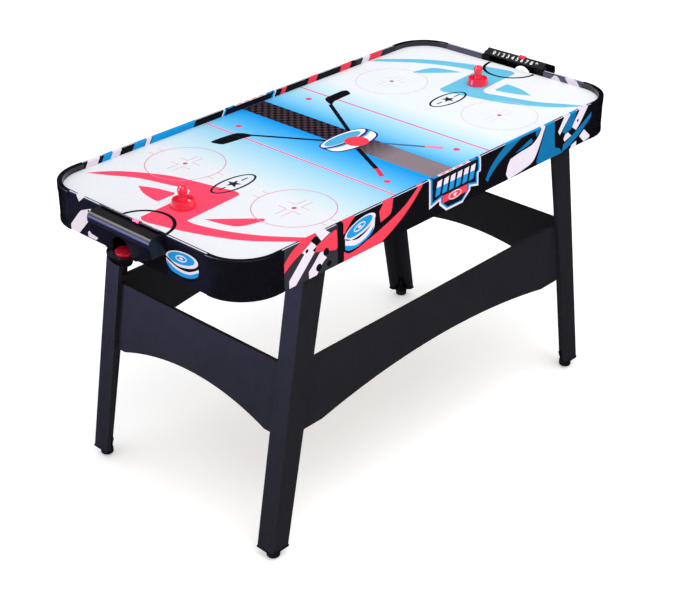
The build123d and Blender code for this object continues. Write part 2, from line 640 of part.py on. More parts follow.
def score_slider(centre_y):
    """Clip that hooks over the top edge of the number plate."""
    front = PLATE_THICK + SLIDER_GAP
    tip = PLATE_WIDE + SLIDER_GAP
    with BuildPart() as slider:
        with BuildSketch(scorer_section(centre_y + SLIDER_WIDTH / 2)):
            Polygon(
                (tip - SLIDER_FRONT, front), (tip, front), (tip, -SLIDER_GAP),
                (tip - SLIDER_BACK, -SLIDER_GAP), (tip - SLIDER_BACK, -SLIDER_GAP - SLIDER_WALL),
                (tip + SLIDER_WALL, -SLIDER_GAP - SLIDER_WALL), (tip + SLIDER_WALL, front + SLIDER_WALL),
                (tip - SLIDER_FRONT, front + SLIDER_WALL), align=None,
            )
        extrude(amount=SLIDER_WIDTH)
        fillet(slider.edges().filter_by(Axis.Y).group_by(Axis.Z)[-1], SLIDER_WALL / 3)
    return slider.part


save(score_slider(SLIDER_START["right"]), "score_slider_right")
save(score_slider(-SLIDER_START["left"]).rotate(Axis.Z, 180), "score_slider_left")

# ================================================================ puck and pushers
PUCK_X = -(HALF_L + 26.0)
REST_GAP = 0.3
PUCK_ROUND = 0.8

with BuildPart() as puck:
    with BuildSketch(Plane.XY.offset(TRAY_FLOOR_Z + REST_GAP)):
        with Locations((PUCK_X, 0)):
            Circle(PUCK_RADIUS)
    extrude(amount=PUCK_THICK)
    fillet(puck.edges().filter_by(GeomType.CIRCLE), PUCK_ROUND)
save(puck.part, "puck")

FELT_THICK = 1.5
FELT_RADIUS = 25.0
FELT_SEAT_RADIUS = FELT_RADIUS - 1.0
PUSHER_BASE_RADIUS = 28.5
PUSHER_SKIRT = (0.4, 5.0)      # bottom and top of the upright skirt
PUSHER_RIM_RADIUS = 25.5
PUSHER_RIM_HEIGHT = 18.0
RIM_THICK = 3.0
DISH_RADIUS = 20.5
DISH_HEIGHT = 9.0
DISH_LOW = (16.0, 7.0)         # radius and height of the bottom of the dish
KNOB_RADIUS = 12.5
KNOB_HEIGHT = 52.0
KNOB_ROOT = (11.5, 10.0)
KNOB_WAIST = (10.0, 24.0)
PUSHERS = {"left": (-543.0, 1.0), "right": (515.0, -8.0)}


def pusher_profile():
    """Half section of the dished pusher, from its axis outward."""
    with BuildSketch() as section:
        with BuildLine():
            Polyline((0, FELT_THICK), (FELT_SEAT_RADIUS, FELT_THICK), (FELT_SEAT_RADIUS, PUSHER_SKIRT[0]),
                     (PUSHER_BASE_RADIUS, PUSHER_SKIRT[0]), (PUSHER_BASE_RADIUS, PUSHER_SKIRT[1]),
                     (PUSHER_RIM_RADIUS, PUSHER_RIM_HEIGHT),
                     (PUSHER_RIM_RADIUS - RIM_THICK, PUSHER_RIM_HEIGHT), (DISH_RADIUS, DISH_HEIGHT),
                     DISH_LOW, KNOB_ROOT, KNOB_WAIST, (KNOB_RADIUS, KNOB_HEIGHT - KNOB_RADIUS))
            CenterArc((0, KNOB_HEIGHT - KNOB_RADIUS), KNOB_RADIUS, 0, 90)
            Line((0, KNOB_HEIGHT), (0, FELT_THICK))
        make_face()
    return section.sketch


for side, place in PUSHERS.items():
    base = Plane(origin=(*place, FIELD_TOP + REST_GAP))
    upright = Plane(origin=base.origin, x_dir=(1, 0, 0), z_dir=(0, -1, 0))
    with BuildPart() as pusher:
        with BuildSketch(upright):
            add(pusher_profile())
        revolve(axis=Axis(base.origin, (0, 0, 1)))
    save(pusher.part, f"pusher_{side}")
    with BuildPart() as felt:
        with BuildSketch(base):
            Circle(FELT_SEAT_RADIUS - FIT)
        extrude(amount=FELT_THICK)
    save(felt.part, f"pusher_felt_{side}")

# ================================================================ fan
FAN_SIDE = 120.0
FAN_CORNER = 6.0
FAN_DEPTH = 28.0
FAN_BOTTOM = PLENUM_UNDER - FAN_DEPTH
FAN_HUB_RADIUS = 22.0
FAN_STRUT = 6.0
STRUT_THICK = 3.0
FAN_SCREW_PITCH = 105.0
SHAFT_RADIUS = 1.5
MOTOR_RADIUS = 18.0
MOTOR_HEIGHT = 15.0
BLADE_COUNT = 7
BLADE_PITCH = 38.0
ROTOR_OUTER = 25.0
ROTOR_INNER = 20.5
ROTOR_LOW = FAN_BOTTOM + STRUT_THICK + 2.0
ROTOR_HIGH = PLENUM_UNDER - 2.0
BLADE_TIP = FAN_THROAT_RADIUS - 1.5
BLADE_CHORD = 20.0
BLADE_THICK = 1.8

with BuildPart() as fan_housing:
    with BuildSketch(Plane.XY.offset(FAN_BOTTOM)):
        with Locations((FAN_X, 0)):
            RectangleRounded(FAN_SIDE, FAN_SIDE, FAN_CORNER)
            Circle(FAN_THROAT_RADIUS, mode=Mode.SUBTRACT)
            with GridLocations(FAN_SCREW_PITCH, FAN_SCREW_PITCH, 2, 2):
                Circle(SCREW_RADIUS + FIT, mode=Mode.SUBTRACT)
    extrude(amount=FAN_DEPTH)
    with BuildSketch(Plane.XY.offset(FAN_BOTTOM)):
        with Locations((FAN_X, 0)):
            Circle(FAN_HUB_RADIUS)
            Rectangle(2 * FAN_THROAT_RADIUS + 2, FAN_STRUT)
            Rectangle(FAN_STRUT, 2 * FAN_THROAT_RADIUS + 2)
    extrude(amount=STRUT_THICK)
save(fan_housing.part, "fan_housing")

with BuildPart() as fan_motor:
    with BuildSketch(Plane.XY.offset(FAN_BOTTOM + STRUT_THICK)):
        with Locations((FAN_X, 0)):
            Circle(MOTOR_RADIUS)
            Circle(SHAFT_RADIUS + FIT, mode=Mode.SUBTRACT)
    extrude(amount=MOTOR_HEIGHT)
save(fan_motor.part, "fan_motor")

with BuildPart() as fan_rotor:
    with BuildSketch(Plane.XY.offset(ROTOR_LOW)):
        with Locations((FAN_X, 0)):
            Circle(ROTOR_OUTER)
            Circle(ROTOR_INNER, mode=Mode.SUBTRACT)
    extrude(amount=ROTOR_HIGH - ROTOR_LOW)
    with BuildSketch(Plane.XY.offset(ROTOR_HIGH - STRUT_THICK)):
        with Locations((FAN_X, 0)):
            Circle(ROTOR_OUTER)
    extrude(amount=STRUT_THICK)
    with BuildSketch(Plane.XY.offset(ROTOR_LOW + 1)):
        with Locations((FAN_X, 0)):
            Circle(SHAFT_RADIUS)
    extrude(amount=ROTOR_HIGH - ROTOR_LOW - 1)
    for blade in range(BLADE_COUNT):
        around = radians(360 * blade / BLADE_COUNT)
        outward = Vector(cos(around), sin(around), 0)
        along = Vector(-sin(around), cos(around), 0) * cos(radians(BLADE_PITCH))
        root = Vector(FAN_X, 0, (ROTOR_LOW + ROTOR_HIGH) / 2) + outward * (ROTOR_OUTER - 1)
        blade_root = Plane(origin=root, x_dir=along + Vector(0, 0, sin(radians(BLADE_PITCH))), z_dir=outward)
        with BuildSketch(blade_root):
            SlotOverall(BLADE_CHORD, BLADE_THICK)
        extrude(amount=BLADE_TIP - ROTOR_OUTER)
save(fan_rotor.part, "fan_rotor")

GRILLE_THICK = 2.0
GRILLE_BAR = 2.4
GRILLE_RINGS = (16.0, 26.0, 36.0, 46.0, 56.0)
GRILLE_TAB = FAN_SIDE / sqrt(2)

with BuildPart() as fan_grille:
    for ring in GRILLE_RINGS:
        with BuildSketch(Plane.XY.offset(FAN_BOTTOM - GRILLE_THICK)):
            with Locations((FAN_X, 0)):
                Circle(ring + GRILLE_BAR / 2)
                Circle(ring - GRILLE_BAR / 2, mode=Mode.SUBTRACT)
        extrude(amount=GRILLE_THICK)
    with BuildSketch(Plane.XY.offset(FAN_BOTTOM - GRILLE_THICK)):
        with Locations((FAN_X, 0)):
            for turn in (45, 135):
                SlotOverall(2 * GRILLE_TAB - GRILLE_BAR * 3, GRILLE_BAR * 3, rotation=turn)
            with GridLocations(FAN_SCREW_PITCH, FAN_SCREW_PITCH, 2, 2):
                Circle(SCREW_RADIUS + FIT, mode=Mode.SUBTRACT)
    extrude(amount=GRILLE_THICK)
save(fan_grille.part, "fan_grille")

FAN_SCREW_HEAD = 1.6

with BuildPart() as fan_screws:
    with BuildSketch(Plane.XY.offset(FAN_BOTTOM - GRILLE_THICK)):
        with Locations((FAN_X, 0)):
            with GridLocations(FAN_SCREW_PITCH, FAN_SCREW_PITCH, 2, 2):
                Circle(SCREW_RADIUS)
    extrude(amount=FAN_DEPTH + GRILLE_THICK)
    with BuildSketch(Plane.XY.offset(FAN_BOTTOM - GRILLE_THICK)):
        with Locations((FAN_X, 0)):
            with GridLocations(FAN_SCREW_PITCH, FAN_SCREW_PITCH, 2, 2):
                Circle(SCREW_HEAD_RADIUS)
    extrude(amount=-FAN_SCREW_HEAD)
save(fan_screws.part, "fan_screws")

# ================================================================ switch, inlet and lead
SWITCH_DEPTH = 16.0
SWITCH_WALL = 1.6
ROCKER_LENGTH = 14.0
ROCKER_WIDTH = 9.0
ROCKER_PIN_RADIUS = 1.0
PIN_INSET = 3.0
ROCKER_TILT = 8.0
HOLE_GAP = 0.2
ROCKER_GAP = 0.3
ROCKER_DEEP = 3.5              # behind the pin
ROCKER_PROUD = 2.4             # in front of the pin at both ends
ROCKER_DISH = 1.5              # how far its face dips in the middle
ROCKER_TAPER = 1.0


def wall_plane(y, z=SWITCH_Z):
    """Upright plane facing +Y at the switch; its x runs along -X."""
    return Plane(origin=(SWITCH_X, y, z), x_dir=(-1, 0, 0), z_dir=(0, 1, 0))


with BuildPart() as switch_housing:
    with BuildSketch(wall_plane(HALF_W)):
        RectangleRounded(*BEZEL, EDGE_ROUND)
    extrude(amount=BEZEL_THICK)
    with BuildSketch(wall_plane(HALF_W)):
        Rectangle(SWITCH_HOLE[0] - 2 * HOLE_GAP, SWITCH_HOLE[1] - 2 * HOLE_GAP)
    extrude(amount=-SWITCH_DEPTH)
    with BuildSketch(wall_plane(HALF_W + BEZEL_THICK)):
        Rectangle(ROCKER_LENGTH + SWITCH_WALL, ROCKER_WIDTH + 2 * ROCKER_GAP)
    extrude(amount=-(SWITCH_DEPTH + BEZEL_THICK - SWITCH_WALL), mode=Mode.SUBTRACT)
    with BuildSketch(Plane(origin=(SWITCH_X, HALF_W - PIN_INSET, SWITCH_Z), z_dir=(0, 0, 1))):
        Circle(ROCKER_PIN_RADIUS + FIT)
    extrude(amount=ROCKER_WIDTH / 2 + SWITCH_WALL - HOLE_GAP, both=True, mode=Mode.SUBTRACT)
save(switch_housing.part, "switch_housing")

with BuildPart() as switch_rocker:
    off_slant = (cos(radians(ROCKER_TILT)), sin(radians(ROCKER_TILT)), 0)
    with BuildSketch(Plane(origin=(SWITCH_X, HALF_W - PIN_INSET, SWITCH_Z), x_dir=off_slant)):
        half = ROCKER_LENGTH / 2 - SWITCH_WALL / 2
        with BuildLine():
            Polyline((-half, ROCKER_PROUD), (-half + ROCKER_TAPER, -ROCKER_DEEP),
                     (half - ROCKER_TAPER, -ROCKER_DEEP), (half, ROCKER_PROUD))
            ThreePointArc((half, ROCKER_PROUD), (0, ROCKER_PROUD - ROCKER_DISH), (-half, ROCKER_PROUD))
        make_face()
    extrude(amount=ROCKER_WIDTH / 2, both=True)
    with BuildSketch(Plane(origin=(SWITCH_X, HALF_W - PIN_INSET, SWITCH_Z), z_dir=(0, 0, 1))):
        Circle(ROCKER_PIN_RADIUS)
    extrude(amount=ROCKER_WIDTH / 2 + SWITCH_WALL - 2 * HOLE_GAP, both=True)
save(switch_rocker.part, "switch_rocker")

JACK_FLANGE_RADIUS = 8.0
JACK_DEPTH = 15.0
JACK_BORE_RADIUS = 2.75
JACK_BORE_DEPTH = 10.0
JACK_PIN_RADIUS = 1.05

with BuildPart() as power_inlet:
    jack_plane = Plane(origin=(JACK_X, HALF_W, SWITCH_Z), x_dir=(-1, 0, 0), z_dir=(0, 1, 0))
    with BuildSketch(jack_plane):
        Circle(JACK_FLANGE_RADIUS)
    extrude(amount=BEZEL_THICK)
    with BuildSketch(jack_plane):
        Circle(JACK_BODY_RADIUS)
    extrude(amount=-JACK_DEPTH)
    with BuildSketch(jack_plane.offset(BEZEL_THICK)):
        Circle(JACK_BORE_RADIUS)
        Circle(JACK_PIN_RADIUS, mode=Mode.SUBTRACT)
    extrude(amount=-JACK_BORE_DEPTH, mode=Mode.SUBTRACT)
save(power_inlet.part, "power_inlet")

LEAD_RADIUS = 2.5
LEAD_BEND = 38.0
LEAD_Z = SWITCH_Z
LEAD_TURN_Y = 150.0
LEAD_FAN_Y = FAN_SIDE / 2
LEAD_SWITCH_Y = HALF_W - SWITCH_DEPTH

with BuildPart() as fan_lead:
    with BuildLine() as lead_route:
        FilletPolyline((SWITCH_X, LEAD_SWITCH_Y, LEAD_Z), (SWITCH_X, LEAD_TURN_Y, LEAD_Z),
                       (FAN_X, LEAD_TURN_Y, LEAD_Z), (FAN_X, LEAD_FAN_Y, LEAD_Z), radius=LEAD_BEND)
    with BuildSketch(Plane(origin=lead_route.line @ 0, z_dir=lead_route.line % 0)):
        Circle(LEAD_RADIUS)
    sweep()
save(fan_lead.part, "fan_lead")

CLIP_WIDTH = 8.0
CLIP_WALL = 2.0
CLIP_Y = (270.0, 210.0, 85.0)

with BuildPart() as lead_clips:
    for clip_x, clip_y in ((SWITCH_X, CLIP_Y[0]), (SWITCH_X, CLIP_Y[1]), (FAN_X, CLIP_Y[2])):
        with BuildSketch(Plane(origin=(clip_x, clip_y, 0), x_dir=(1, 0, 0), z_dir=(0, -1, 0))):
            with Locations((0, (PLENUM_UNDER + LEAD_Z) / 2)):
                Rectangle(2 * (LEAD_RADIUS + CLIP_WALL), PLENUM_UNDER - LEAD_Z)
            with Locations((0, LEAD_Z)):
                Circle(LEAD_RADIUS + CLIP_WALL)
                Circle(LEAD_RADIUS + FIT, mode=Mode.SUBTRACT)
        extrude(amount=CLIP_WIDTH)
save(lead_clips.part, "lead_clips")
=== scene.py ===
"""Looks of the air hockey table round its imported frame.

Everything is in metres in the shared frame, but print outlines are in millimetres: along the
surface first, then across the field or up the apron.
"""

import json
import math

import bmesh
import bpy
from mathutils import Matrix, Vector


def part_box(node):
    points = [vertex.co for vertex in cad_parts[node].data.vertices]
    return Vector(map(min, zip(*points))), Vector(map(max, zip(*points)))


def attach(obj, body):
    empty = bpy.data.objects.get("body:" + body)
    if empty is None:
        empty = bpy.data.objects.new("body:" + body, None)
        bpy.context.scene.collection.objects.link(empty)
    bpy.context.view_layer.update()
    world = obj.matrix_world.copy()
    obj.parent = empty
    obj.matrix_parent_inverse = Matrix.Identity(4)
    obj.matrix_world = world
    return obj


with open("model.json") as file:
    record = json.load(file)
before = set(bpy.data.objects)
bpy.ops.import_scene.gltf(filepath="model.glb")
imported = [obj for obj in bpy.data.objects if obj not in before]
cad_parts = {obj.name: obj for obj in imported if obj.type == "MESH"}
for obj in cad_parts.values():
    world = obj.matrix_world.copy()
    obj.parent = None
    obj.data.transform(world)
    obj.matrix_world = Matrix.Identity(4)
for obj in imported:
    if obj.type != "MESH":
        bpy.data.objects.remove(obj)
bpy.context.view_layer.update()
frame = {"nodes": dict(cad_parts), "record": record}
nodes = frame["nodes"]
scene = bpy.context.scene
scene.view_settings.view_transform = "Standard"

MM = 0.001
LAYER = 0.000035           # thickness of one layer of ink
EDGE_ROUND = 0.0015        # round on the apron's two top edges

# ---------------------------------------------------------------- sizes read from the frame
side_low, side_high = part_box("side_apron_front")
end_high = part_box("end_apron_right")[1]
field_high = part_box("playfield")[1]
HALF_WIDTH = -side_low.y
HALF_LENGTH = end_high.x
WALL = side_high.y - side_low.y
RAIL_TOP = side_high.z
APRON_BOTTOM = side_low.z
FIELD_TOP = field_high.z
FIELD_REACH = 678          # mm from the middle of the field to the print's two ends
HOLE_PITCH = 0.0254        # dots of painted shade for air holes: one in four lies over a drilled hole
CHECKER_SQUARE = 0.012
DOT_CORE = 0.0005          # a dot is solid to here and gone at DOT_EDGE
DOT_EDGE = 0.0008


# ================================================================ materials
def rgb(red, green, blue):
    """An sRGB colour from 0 to 255 as the linear colour that a socket holds."""
    linear = []
    for value in (red, green, blue):
        share = value / 255
        linear.append(share / 12.92 if share <= 0.04045 else ((share + 0.055) / 1.055) ** 2.4)
    return (*linear, 1.0)


class Surface:
    """One material: its node tree and short calls for the nodes used here."""

    def __init__(self, name):
        self.material = bpy.data.materials.new(name)
        self.material.use_nodes = True
        self.tree = self.material.node_tree
        self.shader = self.tree.nodes["Principled BSDF"]
        self.place = self.add("ShaderNodeTexCoord").outputs["Object"]

    def add(self, kind, inputs=None, **settings):
        made = self.tree.nodes.new(kind)
        for key, value in settings.items():
            setattr(made, key, value)
        for key, value in (inputs or {}).items():
            self.plug(made.inputs[key], value)
        return made

    def plug(self, socket, value):
        if isinstance(value, bpy.types.NodeSocket):
            self.tree.links.new(value, socket)
        else:
            socket.default_value = value

    def set(self, **values):
        for key, value in values.items():
            self.plug(self.shader.inputs[key.replace("_", " ")], value)

    def combine(self, operation, first, second=0.0):
        made = self.add("ShaderNodeMath", {0: first, 1: second}, operation=operation)
        return made.outputs[0]

    def noise(self, size, detail=3.0, stretch=(1.0, 1.0, 1.0)):
        """Smooth noise whose features are about size metres, longer along the axes that stretch names."""
        scale = [1 / (size * share) for share in stretch]
        turned = self.add("ShaderNodeMapping", {"Vector": self.place, "Scale": scale})
        found = self.add("ShaderNodeTexNoise",
                         {"Vector": turned.outputs[0], "Scale": 1.0, "Detail": detail, "Roughness": 0.55})
        return found.outputs["Fac"]

    def spread(self, value, low, high, to_low, to_high):
        made = self.add("ShaderNodeMapRange",
                        {"Value": value, "From Min": low, "From Max": high,
                         "To Min": to_low, "To Max": to_high})
        return made.outputs[0]

    def blend(self, share, first, second):
        made = self.add("ShaderNodeMix", data_type="RGBA")
        self.plug(made.inputs["Factor"], share)
        self.plug(made.inputs[6], first)
        self.plug(made.inputs[7], second)
        return made.outputs[2]

    def ramp(self, value, stops):
        made = self.add("ShaderNodeValToRGB", {"Fac": value})
        points = made.color_ramp.elements
        while len(points) < len(stops):
            points.new(0.5)
        for point, (position, colour) in zip(points, stops):
            point.position = position
            point.color = colour
        return made.outputs["Color"]

    def axis(self, name):
        return self.add("ShaderNodeSeparateXYZ", {"Vector": self.place}).outputs[name]

    def worn_edges(self, width, amount):
        """Up to amount on edges within width of a corner, broken up by noise."""
        soft = self.add("ShaderNodeBevel", {"Radius": width}, samples=4).outputs[0]
        sharp = self.add("ShaderNodeNewGeometry").outputs["Normal"]
        dot = self.add("ShaderNodeVectorMath", {0: soft, 1: sharp}, operation="DOT_PRODUCT").outputs["Value"]
        on_edge = self.spread(dot, 0.995, 0.90, 0.0, 1.0)
        patches = self.spread(self.noise(0.012), 0.45, 0.62, 0.0, amount)
        return self.combine("MULTIPLY", on_edge, patches)

    def finish(self, colour, rough, tone=0.10, patch=0.09, grain=0.0007, depth=0.00004, scuff=0.10,
               scuff_stretch=(12.0, 1.0, 1.0), edge=0.0012, wear=0.35, worn=None, holes=False):
        """Colour variation, grain, scuffs and worn edges over a colour, which may be a socket."""
        patches = self.noise(patch, 4.0)
        darker = self.blend(1.0 - tone, (0.0, 0.0, 0.0, 1.0), colour)
        toned = self.blend(self.spread(patches, 0.3, 0.7, 0.0, 1.0), darker, colour)
        if worn is not None:
            toned = self.blend(self.worn_edges(edge, wear), toned, worn)
        scratches = self.noise(0.0016, 2.0, scuff_stretch)
        rubbed = self.combine("ADD", self.spread(scratches, 0.35, 0.65, -scuff, scuff),
                          self.spread(self.noise(0.045), 0.3, 0.7, -scuff * 0.6, scuff * 0.6))
        roughness = self.combine("ADD", rubbed, rough)
        bump = self.add("ShaderNodeBump",
                        {"Height": self.noise(grain, 2.0), "Distance": depth, "Strength": 1.0}).outputs[0]
        if holes:
            # painted shade: a grey dot stands for the dark inside of an air hole
            toned = self.blend(self.air_holes(), toned, rgb(120, 126, 140))
        self.set(Base_Color=toned, Roughness=roughness, Normal=bump)
        return self

    def air_holes(self):
        """1 inside small dots of painted shade that stand for the air holes, on a square grid."""
        half = HOLE_PITCH / 2
        steps = self.add("ShaderNodeVectorMath",
                         {0: self.place, 1: (1 / HOLE_PITCH,) * 3, 2: (0.5, 0.5, 0.5)},
                         operation="MULTIPLY_ADD")
        share = self.add("ShaderNodeVectorMath", {0: steps.outputs[0]}, operation="FRACTION")
        flat = self.add("ShaderNodeVectorMath",
                        {0: share.outputs[0], 1: (HOLE_PITCH, HOLE_PITCH, 0), 2: (-half, -half, 0)},
                        operation="MULTIPLY_ADD")
        away = self.add("ShaderNodeVectorMath", {0: flat.outputs[0]}, operation="LENGTH").outputs["Value"]
        return self.spread(away, DOT_CORE, DOT_EDGE, 1.0, 0.0)


def plastic(name, colour, rough, gloss=0.5, coat=0.0, **finish):
    made = Surface(name)
    made.finish(rgb(*colour), rough, **finish)
    made.set(Specular_IOR_Level=gloss, Coat_Weight=coat, Coat_Roughness=0.12)
    return made.material


def metal(name, colour, rough, stretch=(10.0, 1.0, 1.0), **finish):
    made = Surface(name)
    made.finish(rgb(*colour), rough, scuff_stretch=stretch, **finish)
    made.set(Metallic=1.0)
    return made.material


def ink(name, colour, holes=False, gloss=0.05, rough=0.34):
    """Printed film under a clear coat: fine mottle, faint rub marks."""
    made = Surface(name)
    made.finish(rgb(*colour), rough, tone=0.07, patch=0.05, grain=0.0012, depth=0.00001, scuff=0.08,
                scuff_stretch=(18.0, 1.0, 1.0), holes=holes)
    made.set(Specular_IOR_Level=gloss)
    return made.material


def field_sheet():
    """White film that turns azure towards the centre line, as printed."""
    made = Surface("field_sheet")
    reach = FIELD_REACH
    stops = [(-reach, (222, 223, 228)), (-360, (223, 226, 231)), (-300, (200, 223, 232)),
             (-200, (156, 208, 232)), (-130, (92, 186, 236)), (-50, (14, 150, 232)), (40, (70, 174, 236)),
             (90, (128, 202, 240)), (180, (188, 226, 240)), (260, (230, 236, 242)), (reach, (238, 239, 242))]
    share = made.spread(made.axis("X"), -reach * MM, reach * MM, 0.0, 1.0)
    colour = made.ramp(share, [((x + reach) / (2 * reach), rgb(*c)) for x, c in stops])
    made.finish(colour, 0.22, tone=0.02, patch=0.12, grain=0.0015, depth=0.00001, scuff=0.06,
                scuff_stretch=(14.0, 1.0, 1.0), holes=True)
    made.set(Specular_IOR_Level=0.06)
    return made.material


def checker_ink():
    """Centre band: a fine dark chequer that fades to mauve grey towards -Y."""
    made = Surface("ink_checker")
    squares = made.add("ShaderNodeTexChecker",
                       {"Vector": made.place, "Scale": 1 / CHECKER_SQUARE, "Color1": rgb(20, 19, 26),
                        "Color2": rgb(72, 54, 62)}).outputs["Color"]
    fade = made.spread(made.axis("Y"), -0.16, -0.05, 0.0, 1.0)
    colour = made.blend(fade, rgb(138, 124, 132), squares)
    made.finish(colour, 0.3, tone=0.06, patch=0.04, grain=0.0012, depth=0.00001, scuff=0.08, holes=True)
    made.set(Specular_IOR_Level=0.05)
    return made.material


def bare_board():
    """Cut fibreboard: short fibres and darker flecks."""
    made = Surface("fibreboard")
    flecks = made.spread(made.noise(0.0012, 5.0, (4.0, 1.0, 1.0)), 0.35, 0.7, 0.0, 1.0)
    colour = made.blend(flecks, rgb(176, 142, 104), rgb(122, 92, 62))
    made.finish(colour, 0.85, tone=0.16, patch=0.10, grain=0.0008, depth=0.00012, scuff=0.05)
    return made.material


def felt_cloth():
    made = Surface("felt_pad")
    fibres = made.spread(made.noise(0.0005, 6.0, (1.0, 5.0, 1.0)), 0.3, 0.7, 0.0, 1.0)
    colour = made.blend(fibres, rgb(34, 34, 38), rgb(70, 70, 76))
    made.finish(colour, 0.95, grain=0.0004, depth=0.0002, scuff=0.03)
    made.set(Sheen_Weight=0.5, Sheen_Roughness=0.6)
    return made.material


def leg_film():
    """Dark laminate on board: faint lengthwise grain, satin, paler where knocked."""
    made = Surface("leg_laminate")
    grain = made.spread(made.noise(0.003, 4.0, (1.0, 1.0, 30.0)), 0.35, 0.65, 0.0, 1.0)
    colour = made.blend(grain, rgb(34, 33, 38), rgb(38, 37, 42))
    made.finish(colour, 0.40, tone=0.12, patch=0.14, grain=0.0010, depth=0.00004, scuff=0.10,
                scuff_stretch=(1.0, 1.0, 14.0), worn=rgb(70, 68, 76), wear=0.4, edge=0.0015)
    made.set(Specular_IOR_Level=0.2)
    return made.material


apron_black = ink("apron_film", (17, 16, 21), rough=0.26)
corner_plastic = plastic("corner_plastic", (14, 14, 21), 0.26, gloss=0.45, coat=0.1, grain=0.0016,
                         depth=0.000001, worn=rgb(52, 52, 62), wear=0.35)
box_plastic = plastic("box_plastic", (11, 10, 18), 0.33, gloss=0.45, coat=0.0, grain=0.0016,
                      depth=0.000001, scuff=0.02, worn=rgb(60, 58, 66), wear=0.3)
foot_plastic = plastic("foot_plastic", (18, 18, 20), 0.42, gloss=0.4, grain=0.0005, depth=0.00008,
                       worn=rgb(80, 80, 84))
foot_rubber = plastic("foot_rubber", (24, 24, 26), 0.62, gloss=0.35, grain=0.0004, depth=0.0001,
                      worn=rgb(92, 90, 88), wear=0.5, scuff=0.15)
plate_plastic = plastic("plate_plastic", (18, 17, 22), 0.36, gloss=0.35, worn=rgb(70, 68, 76))
red_plastic = plastic("red_plastic", (255, 50, 78), 0.24, gloss=0.5, coat=0.5, tone=0.14, patch=0.03,
                      grain=0.0009, depth=0.00003, worn=rgb(240, 92, 98), wear=0.4)
puck_plastic = plastic("puck_plastic", (206, 20, 48), 0.26, gloss=0.5, coat=0.3, grain=0.0006, depth=0.00005,
                       worn=rgb(236, 110, 112), wear=0.6)
fan_plastic = plastic("fan_plastic", (30, 30, 33), 0.45, gloss=0.4, grain=0.0005, depth=0.00006,
                      worn=rgb(80, 80, 84))
lead_jacket = plastic("lead_jacket", (26, 26, 28), 0.5, gloss=0.4, grain=0.0006, depth=0.00005)
steel = metal("zinc_steel", (178, 180, 184), 0.34, tone=0.18, patch=0.012, depth=0.00003,
              worn=rgb(214, 214, 216), wear=0.5)
fan_steel = metal("fan_steel", (150, 152, 156), 0.38, tone=0.15, patch=0.03, depth=0.00003,
                  worn=rgb(205, 205, 208))
motor_metal = metal("motor_can", (120, 122, 128), 0.36, stretch=(1.0, 1.0, 14.0), tone=0.15, patch=0.02)
SLOT_LOOKS = {
    "apron_print": apron_black,
    "field_print": field_sheet(),
    "corner_plastic": corner_plastic,
    "bare_board": bare_board(),
    "steel": steel,
    "leg_laminate": leg_film(),
    "foot_plastic": foot_plastic,
    "foot_rubber": foot_rubber,
    "box_plastic": box_plastic,
    "plate_plastic": plate_plastic,
    "red_plastic": red_plastic,
    "felt": felt_cloth(),
    "puck_plastic": puck_plastic,
    "fan_plastic": fan_plastic,
    "fan_steel": fan_steel,
    "motor_metal": motor_metal,
    "lead_jacket": lead_jacket,
}


def dress_frame():
    """Give every CAD node the look of its slot in the record."""
    for entry in frame["record"]["subparts"]:
        node = nodes[entry["node"]]
        node.data.materials.clear()
        node.data.materials.append(SLOT_LOOKS[entry["material_slot"]])


dress_frame()


# ================================================================ print
def through(points):
    """A smooth run through the points, straight where there are two."""
    if len(points) < 3:
        return [Vector(p) for p in points]
    known = [Vector(p) for p in points]
    known = [2 * known[0] - known[1], *known, 2 * known[-1] - known[-2]]
    run = []
    for a, b, c, d in zip(known, known[1:], known[2:], known[3:]):
        for step in range(5):
            t = step / 5
            run.append(0.5 * (2 * b + (c - a) * t + (2 * a - 5 * b + 4 * c - d) * t ** 2
                              + (3 * b - a - 3 * c + d) * t ** 3))
    run.append(known[-2])
    return run


def outline(*runs):
    """A closed outline. Each run is smooth and goes on from the end of the last one."""
    path = []
    end = None
    for run in runs:
        points = ([end] if end else []) + list(run)
        path += through(points)[:-1]
        end = points[-1]
    if (path[0] - Vector(end)).length > 0.01:
        path.append(Vector(end))
    return path


def disc(centre, radius, squash=1.0, tilt=0.0, count=40):
    """A circle, or an ellipse whose height is squash times its width."""
    turn = Matrix.Rotation(math.radians(tilt), 2)
    return [Vector(centre) + turn @ Vector((radius * math.cos(a), squash * radius * math.sin(a)))
            for a in (2 * math.pi * i / count for i in range(count))]


class Band(list):
    """The two edges of a curved stroke: one side's points, then the other's back again."""


def bow(centre, radius, width, start, end, squash=1.0, tilt=0.0):
    """A band along an arc from start to end, in degrees."""
    turn = Matrix.Rotation(math.radians(tilt), 2)
    count = max(6, int(abs(end - start) / 6))
    angles = [math.radians(start + (end - start) * i / count) for i in range(count + 1)]
    edge = []
    for shift, order in ((width / 2, angles), (-width / 2, angles[::-1])):
        for a in order:
            point = Vector(((radius + shift) * math.cos(a), (squash * radius + shift) * math.sin(a)))
            edge.append(Vector(centre) + turn @ point)
    return Band(edge)


def hoop(centre, radius, width, squash=1.0, tilt=0.0):
    """A whole ring as two half bands."""
    return [bow(centre, radius, width, start, start + 180, squash, tilt) for start in (0, 180)]


def shape(*corners):
    """A straight-sided outline."""
    return [Vector(p) for p in corners]


def block(x0, x1, y0, y1):
    return shape((x0, y0), (x1, y0), (x1, y1), (x0, y1))


def bar(start, end, width):
    """A straight stroke."""
    along = (Vector(end) - Vector(start)).normalized()
    side = Vector((-along.y, along.x)) * width / 2
    return [Vector(start) - side, Vector(end) - side, Vector(end) + side, Vector(start) + side]


def star(centre, radius, points=5, inner=0.42):
    return [Vector(centre) + Vector((math.cos(a), math.sin(a))) * radius * (inner if i % 2 else 1)
            for i, a in ((i, math.pi / 2 + math.pi * i / points) for i in range(2 * points))]


